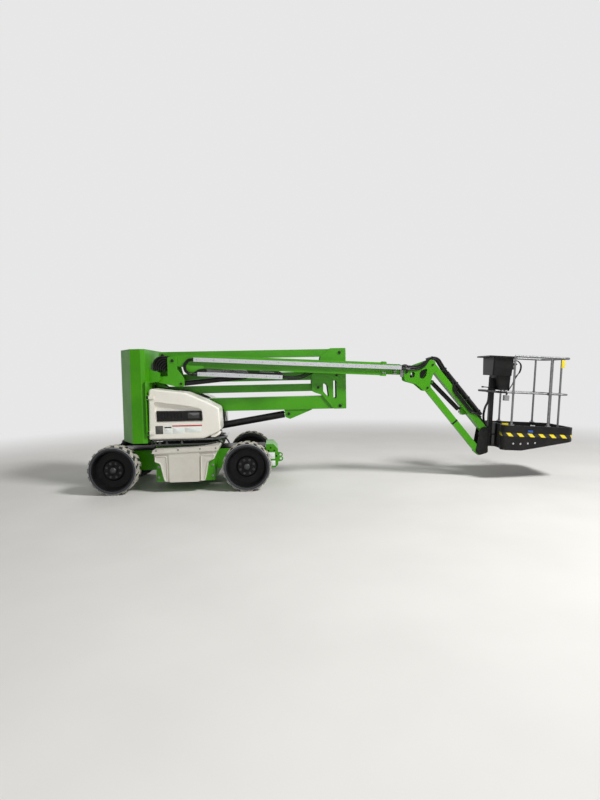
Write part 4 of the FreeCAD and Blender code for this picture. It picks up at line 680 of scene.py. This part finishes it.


# Hoses that bend over joints: each row names the two bodies that one joint joins, but the hose is left on no body,
# fixed at its rest place
bendingHoses = {
    "tail_hoses": {"bodies": ("boom_bracket", "boom_outer"), "start": (-0.30, -0.2, 1.66), "end": (-0.12, -0.2, 1.75),
                   "radius": 0.0125, "lines": [
                       [(-0.376 + 0.027 * i, -0.288 + 0.026 * j, 1.585), (-0.384 + 0.028 * i, -0.288 + 0.026 * j, 1.66 - 0.012 * i),
                        (-0.366 + 0.030 * i, -0.286 + 0.026 * j, 1.72 - 0.02 * i), (-0.31 + 0.022 * i, -0.28 + 0.024 * j, 1.764 - 0.025 * i),
                        (-0.21 + 0.006 * i, -0.27 + 0.021 * j, 1.77 - 0.026 * i), (-0.10, -0.26 + 0.02 * j, 1.76 - 0.026 * i)]
                       for j in range(5) for i in np.arange(5 + (j + 1) % 2) + 0.5 * (j % 2)]},
    "head_hoses": {"bodies": ("boom_inner", "jib_head"), "start": (3.08, -0.25, 1.52), "end": (3.26, -0.25, 1.56),
                   "radius": 0.0105, "lines": [
                       [(2.99, -0.27 + 0.033 * i, 1.575), (3.08, -0.27 + 0.033 * i, 1.578 + 0.006 * i), (3.18, -0.27 + 0.033 * i, 1.535),
                        (3.26, -0.27 + 0.033 * i, 1.535), (3.33, -0.27 + 0.033 * i, 1.61), (3.395, -0.27 + 0.033 * i, 1.664)]
                       for i in range(4)] + [
                       [(2.97, -0.322, 1.586 - 0.02 * k), (3.05, -0.324, 1.582 - 0.024 * k), (3.14, -0.318, 1.578 - 0.024 * k),
                        (3.23, -0.314, 1.590 - 0.026 * k), (3.31, -0.314, 1.632 - 0.026 * k), (3.365, -0.312 + 0.004 * k, 1.678 - 0.014 * k),
                        (3.425 - 0.006 * k, -0.29 + 0.004 * k, 1.702 - 0.008 * k)] for k in range(3)]},
    "jib_hoses": {"bodies": ("jib_head", "jib_tie"), "start": (3.41, -0.25, 1.66), "end": (3.54, -0.25, 1.50),
                  "radius": 0.0115, "lines": [
                      [(3.370 - 0.005 * j, -0.27 + 0.033 * i, 1.655 + 0.018 * j), (3.445 + 0.004 * j, -0.27 + 0.033 * i, 1.672 + 0.022 * j),
                       (3.505 + 0.016 * j, -0.27 + 0.033 * i, 1.648 + 0.018 * j), (3.552 + 0.019 * j, -0.27 + 0.033 * i, 1.577 + 0.014 * j),
                       (3.612 + 0.018 * j, -0.27 + 0.033 * i, 1.486 + 0.014 * j), (3.832 + 0.018 * j, -0.27 + 0.033 * i, 1.207 + 0.014 * j),
                       (4.032 + 0.012 * j, -0.262 + 0.028 * i, 0.937 + 0.009 * j), (4.132 + 0.009 * j, -0.255 + 0.024 * i, 0.775),
                       (4.163, -0.25 + 0.02 * i, 0.700)] for i in range(4) for j in (0, 1)]},
}


# Hoses that cross inside the open jib head, as steps (x, z) beside its pins
headRuns = [(3.118, 1.452), (3.165, 1.432), (3.235, 1.448), (3.282, 1.500), (3.300, 1.560), (3.345, 1.622)]


def makeHeadRuns(route):
    lines = [[(x + 0.016 * i, -0.275 + 0.027 * j, z - 0.014 * i) for x, z in route] for i in range(-1, 3) for j in range(5)]
    addPiece("head_runs", joined(*[hose(line, 0.0095, 8) for line in lines]), paints["hoseRubber"], "jib_head")


makeHeadRuns(headRuns)


def makeBendingHoses(rows):
    for name, row in rows.items():
        shape = joined(*[hose(line, row["radius"], 10) for line in row["lines"]])
        piece = addPiece(name, shape, paints["hoseRubber"], row["bodies"][0])
        piece.parent = None
        del piece["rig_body"]
        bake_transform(piece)


makeBendingHoses(bendingHoses)


# Jib: ribbed sleeve and straps that hold the hoses on the tie, rubber band round the arm
jibTrim = {"straps": (0.16, 0.42, 0.68, 0.92), "sleeve": (0.22, 0.98), "sleeveRadius": 0.028, "ribMm": 14,
           "band": 0.62}


def makeJibTrim(look):
    start, end = look["sleeve"]
    s = np.linspace(start, end, int((end - start) * 1000 / look["ribMm"]) * 4 + 1)
    radius = look["sleeveRadius"] + 0.0022 * np.cos((s - start) * 2 * np.pi * 1000 / look["ribMm"])
    line = np.stack([s, 0 * s - 0.052, 0 * s + 0.094], -1)
    addPiece("ribbed_sleeve", on(tiePlace, tube(line, radius, 12)), paints["hoseRubber"], "jib_tie")
    straps = [placed(slab(roundRect(0.15, 0.088, 0.02), [(-0.009, 0.001), (-0.008, 0), (0.008, 0), (0.009, 0.001)]),
                     (a, -0.005, 0.084), (1, 0, 0), (0, 1, 0)) for a in look["straps"]]
    addPiece("tie_straps", on(tiePlace, joined(*straps)), paints["mouldedPolyethylene"], "jib_tie")
    runs = [hose([(0.33, -0.066, 0.080), (0.40, -0.080, 0.056), (0.48, -0.0795, 0.034 - 0.018 * k),
                  (0.66, -0.0795, 0.030 - 0.018 * k), (0.84, -0.0795, 0.031 - 0.018 * k),
                  (0.95 - 0.03 * k, -0.080, 0.050 - 0.012 * k), (1.0 - 0.03 * k, -0.068, 0.080 - 0.004 * k)], 0.0085, 8)
            for k in range(3)]
    addPiece("tie_side_hoses", on(tiePlace, joined(*runs)), paints["hoseRubber"], "jib_tie")
    band = placed(slab(roundRect(0.068, 0.092, 0.006), [(-0.011, 0.0015), (-0.009, 0), (0.009, 0), (0.011, 0.0015)]),
                  (look["band"], -0.039, 0), (1, 0, 0), (0, 1, 0))
    addPiece("arm_band", on(armPlace, band), paints["hoseRubber"], "jib_arm")


makeJibTrim(jibTrim)
print("hoses laid")


# Cage: hazard band, blank plates, tag, grip bars on the floor, pedal, controls under the cover, collars on the tubes
cageTrim = {"outline": [(0.085, -0.15, 0.02), (0.054, -0.25, 0.02), (0.022, -0.38, 0.06), (1.031, -0.38, 0.11),
                        (1.031, 0.38, 0.11), (0.022, 0.38, 0.06), (0.054, 0.25, 0.02), (0.085, 0.15, 0.02)],
            "band": (0.188, 0.234), "bandStart": 0.06, "edge": 0.362, "midRail": 0.776, "topRail": 1.265,
            "posts": [(0.15, -0.362, 0.334), (0.651, -0.362, 0.334), (0.287, 0.362, 0.334), (0.787, 0.362, 0.334),
                      (0.92, -0.12, 0.175), (0.92, 0.12, 0.175)]}


def makeCageTrim(look):
    ring = rounded(look["outline"], 10)
    ring = ring[(ring[:, 0] > look["bandStart"]) | (np.abs(ring[:, 1]) > 0.30)]
    ahead = np.roll(ring, -1, 0)
    order = np.argmax(np.linalg.norm(ahead - ring, axis=1) * (ring[:, 0] < 0.2) * (ahead[:, 0] < 0.2))
    ring = np.roll(ring, -order - 1, 0)
    run = np.gradient(ring, axis=0)
    normal = np.stack([run[:, 1], -run[:, 0]], -1) / np.linalg.norm(run, axis=1)[:, None]
    low, high = look["band"]
    length = np.concatenate([[0], np.cumsum(np.linalg.norm(np.diff(ring, axis=0), axis=1))])
    corners = [(-0.001, low), (0.0015, low), (0.0015, high), (-0.001, high)]
    rows = [np.concatenate([ring + d * normal, np.full((len(ring), 1), w)], -1) for d, w in corners]
    points = np.stack(rows, 1)
    uv = np.stack([np.stack([length, np.full(len(ring), w - low)], -1) for _, w in corners], 1).reshape(-1, 2)
    addPiece("hazard_band", on(cagePlace, closedGrid(points)), paints["hazardTape"], "cage", uv)
    sheets = {
        "blankYellow": [placed(plate(roundRect(0.045, 0.105, 0.004), 0.0015), (0.80, -0.3785, 1.185), (0, -1, 0)),
                        placed(plate(roundRect(0.10, 0.045, 0.004), 0.0012), (0.38, 0.3562, 0.285), (0, -1, 0))],
        "blankWhite": [placed(plate(roundRect(0.075, 0.035, 0.004), 0.0012), (0.80, 0.3562, 0.275), (0, -1, 0))],
        "blankBlue": [placed(plate(roundRect(0.07, 0.03, 0.004), 0.001), (0.41, -0.3815, 0.262), (0, -1, 0))],
    }
    for finish, shapes in sheets.items():
        addPiece("cage_" + finish, on(cagePlace, joined(*shapes)), paints[finish], "cage")
    collar = lathe([(-0.02, 0.0185), (-0.018, 0.02), (0.018, 0.02), (0.02, 0.0185)], 20)
    foot = joined(slab(roundRect(0.06, 0.06, 0.012), [(0, 0), (0.005, 0), (0.006, 0.001)]),
                  lathe([(0.005, 0.02), (0.03, 0.018), (0.032, 0.0155)], 20))
    foot = joined(foot, copies(hexBolt(0.01, 0.006), [(-0.021, -0.021, 0.006), (0.021, 0.021, 0.006), (-0.021, 0.021, 0.006),
                                                     (0.021, -0.021, 0.006)]))
    posts = np.array(look["posts"])
    shapes = [copies(foot, posts + [0, 0, 0.0005]), copies(collar, posts * [1, 1, 0] + [0, 0, look["midRail"]])]
    addPiece("post_feet", on(cagePlace, joined(*shapes)), paints["greyTube"], "cage")
    u, t = np.meshgrid(np.arange(0.14, 0.98, 0.045), np.arange(-0.32, 0.33, 0.045), indexing="ij")
    odd = ((np.arange(u.size) // u.shape[1] + np.arange(u.size) % u.shape[1]) % 2).astype(float)
    angle = np.where(odd > 0, np.pi / 4, -np.pi / 4)
    turns = np.zeros((u.size, 3, 3))
    turns[:, 0, 0], turns[:, 0, 1], turns[:, 1, 0], turns[:, 1, 1], turns[:, 2, 2] = (
        np.cos(angle), -np.sin(angle), np.sin(angle), np.cos(angle), 1)
    bar = slab(roundRect(0.03, 0.007, 0.003, 2), [(0, 0), (0.0012, 0.0008)])
    grip = copies(bar, np.stack([u.ravel(), t.ravel(), np.full(u.size, 0.1748)], -1), turns)
    addPiece("floor_grip", on(cagePlace, grip), paints["mouldedPolyethylene"], "cage")
    pedal = joined(placed(slab(roundRect(0.13, 0.20, 0.02), [(0, 0.004), (0.004, 0), (0.02, 0), (0.024, 0.004)]), (0.24, 0.12, 0.175), (0, 0, 1)),
                   placed(slab(roundRect(0.09, 0.12, 0.012), [(0, 0), (0.012, 0), (0.014, 0.002)]), (0.25, 0.12, 0.212), (-0.25, 0, 1)),
                   placed(slab(roundRect(0.02, 0.12, 0.004), [(0, 0), (0.02, 0)]), (0.205, 0.12, 0.195), (0, 0, 1)))
    addPiece("foot_pedal", on(cagePlace, pedal), paints["blackEnamel"], "cage")
    socket = joined(placed(slab(roundRect(0.075, 0.055, 0.008), [(0, 0.003), (0.003, 0), (0.072, 0), (0.075, 0.003)]),
                           (0.177, -0.085, 0.655), (0, 0, 1)),
                    hose([(0.177, -0.085, 0.725), (0.172, -0.085, 0.77), (0.14, -0.08, 0.80), (0.12, -0.075, 0.815)], 0.009))
    addPiece("power_socket", on(cagePlace, socket), paints["blankGrey"], "cage")
    cables = [hose([(0.19, -0.20 - 0.012 * k, 1.20), (0.235, -0.235 - 0.012 * k, 1.205), (0.275 + 0.012 * k, -0.25, 1.15),
                    (0.265 + 0.012 * k, -0.25, 1.06), (0.225, -0.235, 0.97 + 0.02 * k), (0.198, -0.20, 0.88), (0.186, -0.12 - 0.012 * k, 0.80),
                    (0.180, -0.09 - 0.010 * k, 0.74)], 0.006, 8) for k in range(2)]
    addPiece("console_cables", on(cagePlace, joined(*cables)), paints["hoseRubber"], "cage")


makeCageTrim(cageTrim)


# Controls: sloped panel on the operator's side of the cover, two sticks in bellows, switches and a stop button
controls = {"face": (0.204, 1.205), "lean": 4, "sticks": (-0.13, 0.13), "switches": (-0.08, -0.04, 0.0, 0.04, 0.08)}


def makeControls(look):
    u, w = look["face"]
    a = np.radians(look["lean"])
    out = (np.cos(a), 0, -np.sin(a) * 0.0 + 0.08)
    board = placed(plate(roundRect(0.36, 0.13, 0.015), 0.012, 0.004), (u - 0.002, 0, w - 0.055), out, (0, 1, 0))
    addPiece("control_board", on(cagePlace, board), paints["blackEnamel"], "cage")
    base = np.array([u + 0.010, 0, w - 0.055])
    bellows = lathe([(0, 0.026), (0.006, 0.026), (0.009, 0.020), (0.012, 0.023), (0.015, 0.017), (0.018, 0.020), (0.021, 0.014),
                     (0.024, 0.016), (0.028, 0.010), (0.034, 0.007), (0.034, 0.009), (0.060, 0.012), (0.068, 0.009), (0.071, 0.001)], 20)
    sticks = [placed(bellows, base + [0, s, 0.01], out, (0, 1, 0)) for s in look["sticks"]]
    toggles = [placed(joined(lathe([(0, 0.009), (0.003, 0.009)], 6), lathe([(0.002, 0.003), (0.018, 0.0042), (0.02, 0.003)], 10)),
                      base + [0, s, 0.035], out, (0, 1, 0)) for s in look["switches"]]
    addPiece("control_sticks", on(cagePlace, joined(*sticks)), paints["hoseRubber"], "cage")
    addPiece("toggle_switches", on(cagePlace, joined(*toggles)), paints["zincPlate"], "cage")
    stop = placed(lathe([(0, 0.012), (0.012, 0.012), (0.013, 0.02), (0.022, 0.02), (0.026, 0.014), (0.027, 0.001)], 24),
                  base + [0, 0, -0.03], out, (0, 1, 0))
    collar = placed(plate(roundRect(0.05, 0.05, 0.025, 8), 0.002), base + [0, 0, -0.03], out, (0, 1, 0))
    addPiece("stop_button", on(cagePlace, stop), paints["stopRed"], "cage")
    addPiece("stop_collar", on(cagePlace, collar), paints["blankYellow"], "cage")
    lid = placed(slab(roundRect(0.381, 0.490, 0.03), [(0, 0.002), (0.002, 0), (0.004, 0.001), (0.0045, 0.006)]),
                 (0.0455, 0, 1.2615), (0, 0, 1))
    addPiece("cover_lid", on(cagePlace, lid), paints["mouldedPolyethylene"], "cage")


makeControls(controls)


# Carrier: rotator clamp and lever, hose loop at the post, valve block with hoses between the plates
carrierTrim = {"post": (0.0, 0.0), "clampZ": 0.70}


def makeCarrierTrim(look):
    clamp = joined(placed(slab(roundRect(0.085, 0.07, 0.01), [(-0.025, 0.002), (-0.023, 0), (0.023, 0), (0.025, 0.002)]),
                          (0, 0, 0.80), (0, 0, 1)),
                   tube(np.array([(-0.02, -0.03, 0.815), (-0.08, -0.03, 0.83), (-0.14, -0.03, 0.832)]), 0.007, 10),
                   placed(lathe([(-0.012, 0.011), (0.012, 0.011)], 16), (-0.145, -0.03, 0.832), (1, 0, 0), (0, 1, 0)),
                   placed(hexBolt(0.02, 0.01), (0.0, -0.035, 0.79), (0, -1, 0)))
    addPiece("post_clamp", on(cagePlace, clamp), paints["blackEnamel"], "cage")
    loops = [hose([(-0.02, -0.03 + 0.02 * i, 0.25), (-0.075, -0.035 + 0.02 * i, 0.31), (-0.10, -0.035 + 0.02 * i, 0.42),
                   (-0.085, -0.035 + 0.02 * i, 0.54), (-0.045, -0.033 + 0.02 * i, 0.64), (-0.038, -0.03 + 0.02 * i, 0.80),
                   (-0.036, -0.03 + 0.02 * i, 0.98)], 0.008, 10) for i in range(3)]
    addPiece("post_hoses", on(cagePlace, joined(*loops)), paints["hoseRubber"], "cage")
    block = placed(slab(roundRect(0.022, 0.11, 0.004), [(0, 0.002), (0.002, 0), (0.058, 0), (0.06, 0.002)]),
                   (4.1535, -0.22, 0.515), (0, 0, 1))
    addPiece("carrier_block", block, paints["zincPlate"], "cage_carrier")
    runs = [hose([(4.163, -0.25 + 0.02 * i, 0.700), (4.155, -0.25 + 0.02 * i, 0.655), (4.118, -0.25 + 0.02 * i, 0.63),
                  (4.093 + 0.01 * (i % 2), -0.25 + 0.02 * i, 0.59)], 0.0085, 8) for i in range(4)]
    addPiece("carrier_hoses", joined(*runs), paints["hoseRubber"], "cage_carrier")


makeCarrierTrim(carrierTrim)
print("cage dressed")


# Chassis ends: blank plates on the front box, hole rows, steering tie rod and hoses under the front
chassisTrim = {"plates": [(1.175, 0.385, 0.09, 0.09), (1.19, 0.28, 0.07, 0.07)], "half": 0.26,
               "holes": [(1.135, 0.455), (1.165, 0.495), (1.215, 0.455), (1.118, 0.34), (1.242, 0.38), (1.125, 0.25)]}


def makeChassisTrim(look):
    sheets = [placed(plate(roundRect(w, h, 0.005), 0.0015), (x, -look["half"], z), (0, -1, 0)) for x, z, w, h in look["plates"]]
    addPiece("front_plates", joined(*sheets, *[mirrored(s) for s in sheets]), paints["blankWhite"], "chassis")
    plug = lathe([(0, 0.012), (0.002, 0.012), (0.003, 0.009), (0.0012, 0.0075), (0.0012, 0.001)], 18)
    plugs = [placed(plug, (x, -look["half"], z), (0, -1, 0)) for x, z in look["holes"]]
    addPiece("front_plugs", joined(*plugs, *[mirrored(p) for p in plugs]), paints["blackEnamel"], "chassis")
    rod = joined(tube(np.array([(0.76, -0.44, 0.245), (0.76, 0.0, 0.245), (0.76, 0.44, 0.245)]), 0.013, 14),
                 *[placed(lathe([(-0.02, 0.02), (0.02, 0.02)], 18), (0.76, s * 0.45, 0.245), (0, 0, 1)) for s in (-1, 1)])
    addPiece("tie_rod", rod, paints["blackEnamel"], "chassis")
    lines = [hose([(0.60, s * 0.20, 0.40), (0.66, s * 0.27, 0.42), (0.74, s * 0.33, 0.40), (0.80, s * 0.40, 0.37)], 0.009, 8)
             for s in (-1, 1)]
    lines += [hose([(-0.62, s * 0.25, 0.40), (-0.70, s * 0.32, 0.43), (-0.78, s * 0.40, 0.41), (-0.82, s * 0.46, 0.37)], 0.009, 8)
              for s in (-1, 1)]
    addPiece("axle_hoses", joined(*lines), paints["hoseRubber"], "chassis")


makeChassisTrim(chassisTrim)
print("chassis dressed")


# Camera at the photograph's place: yaw towards +x, pitch down, roll, in degrees.
cameraView = {"place": (1.23, -7.66, 1.54), "yaw": 2.73, "pitch": 3.06, "roll": -1.17, "lens": 24.27}


def setCamera(view):
    yaw, pitch, roll = np.radians([view["yaw"], view["pitch"], view["roll"]])
    forward = np.array([np.sin(yaw) * np.cos(pitch), np.cos(yaw) * np.cos(pitch), -np.sin(pitch)])
    level = np.array([np.cos(yaw), -np.sin(yaw), 0])
    up = np.cross(level, forward)
    right = np.cos(roll) * level + np.sin(roll) * up
    top = np.cos(roll) * up - np.sin(roll) * level
    turn = np.eye(4)
    turn[:3, 0], turn[:3, 1], turn[:3, 2], turn[:3, 3] = right, top, -forward, view["place"]
    data = bpy.data.cameras.new("camera")
    data.lens = view["lens"]
    data.sensor_width = 36
    camera = bpy.data.objects.new("camera", data)
    bpy.context.scene.collection.objects.link(camera)
    camera.matrix_world = Matrix(turn.tolist())
    bpy.context.scene.camera = camera


# Soft studio: a large key lamp high on the right front, where the sun stood, a fill from the front, a back
# light and a pale world. Far from the machine the floor turns into the same plain white as the world.
studio = {"key": (1330, (8.0, -5.6, 8.6), 2.4), "fill": (100, (1.5, -9.2, 3.6), 6.0), "back": (200, (-2.0, 7.0, 6.0), 6.0),
          "world": 0.15, "seen": 0.80, "floor": "#DBD9D5", "size": 80.0, "fade": (4.5, 10.0)}


# 1 for rays that show the background: from the camera, or by way of gloss or glass
def seenRays(tree):
    rays = addNode(tree, "ShaderNodeLightPath")
    seen = addNode(tree, "ShaderNodeMath", links={0: rays.outputs["Is Camera Ray"], 1: rays.outputs["Is Glossy Ray"]},
                   operation="MAXIMUM")
    return addNode(tree, "ShaderNodeMath", links={0: seen.outputs[0], 1: rays.outputs["Is Transmission Ray"]},
                   operation="MAXIMUM")


# The floor's own surface near the machine, blended by distance from it into plain light of the world's strength
def fadeFloor(tree, look):
    shader = next(n for n in tree.nodes if n.type == "BSDF_PRINCIPLED")
    out = next(n for n in tree.nodes if n.type == "OUTPUT_MATERIAL")
    near, far = look["fade"]
    away = addNode(tree, "ShaderNodeVectorMath", {1: (1.5, 0.0, 0.0)},
                   {0: addNode(tree, "ShaderNodeTexCoord").outputs["Object"]}, operation="DISTANCE")
    share = addNode(tree, "ShaderNodeMapRange", {"From Min": near, "From Max": far}, {"Value": away.outputs["Value"]},
                    interpolation_type="SMOOTHSTEP")
    share = addNode(tree, "ShaderNodeMath", links={0: share.outputs[0], 1: seenRays(tree).outputs[0]}, operation="MULTIPLY")
    plain = addNode(tree, "ShaderNodeEmission", {"Color": (1, 1, 1, 1), "Strength": look["seen"]})
    mix = addNode(tree, "ShaderNodeMixShader", links={0: share.outputs[0], 1: shader.outputs[0], 2: plain.outputs[0]})
    tree.links.new(mix.outputs[0], out.inputs["Surface"])


def setStudio(look):
    for name in ("key", "fill", "back"):
        power, place, size = look[name]
        data = bpy.data.lights.new(name, "AREA")
        data.energy, data.size = power, size
        lamp = bpy.data.objects.new(name, data)
        bpy.context.scene.collection.objects.link(lamp)
        aim = np.array([1.0, 0.0, 0.6]) - np.array(place)
        back = -aim / np.linalg.norm(aim)
        side = np.cross([0, 0, 1], back)
        side = side / np.linalg.norm(side)
        turn = np.eye(4)
        turn[:3, 0], turn[:3, 1], turn[:3, 2], turn[:3, 3] = side, np.cross(back, side), back, place
        lamp.matrix_world = Matrix(turn.tolist())
    world = bpy.data.worlds.new("softRoom")
    bpy.context.scene.world = world
    world.use_nodes = True
    tree = world.node_tree
    tree.nodes.clear()
    seen = seenRays(tree)
    strength = addNode(tree, "ShaderNodeMapRange", {"To Min": look["world"], "To Max": look["seen"]}, {"Value": seen.outputs[0]})
    air = addNode(tree, "ShaderNodeBackground", {"Color": (1, 1, 1, 1)}, {"Strength": strength.outputs[0]})
    addNode(tree, "ShaderNodeOutputWorld", links={"Surface": air.outputs[0]})
    half = look["size"] / 2
    mesh = bpy.data.meshes.new("floor")
    mesh.from_pydata([(-half, -half, 0), (half, -half, 0), (half, half, 0), (-half, half, 0)], [], [(0, 1, 2, 3)])
    floor = bpy.data.objects.new("floor", mesh)
    bpy.context.scene.collection.objects.link(floor)
    ground = surface("paleFloor", {"colour": look["floor"], "second": "#D7D5D1", "cloudMm": 900, "rough": (0.8, 0.9),
                                   "grainMm": 10, "bump": 0.03})
    fadeFloor(ground.node_tree, look)
    mesh.materials.append(ground)
    bpy.context.scene.view_settings.view_transform = "Standard"


setCamera(cameraView)
setStudio(studio)
print("camera and studio set")
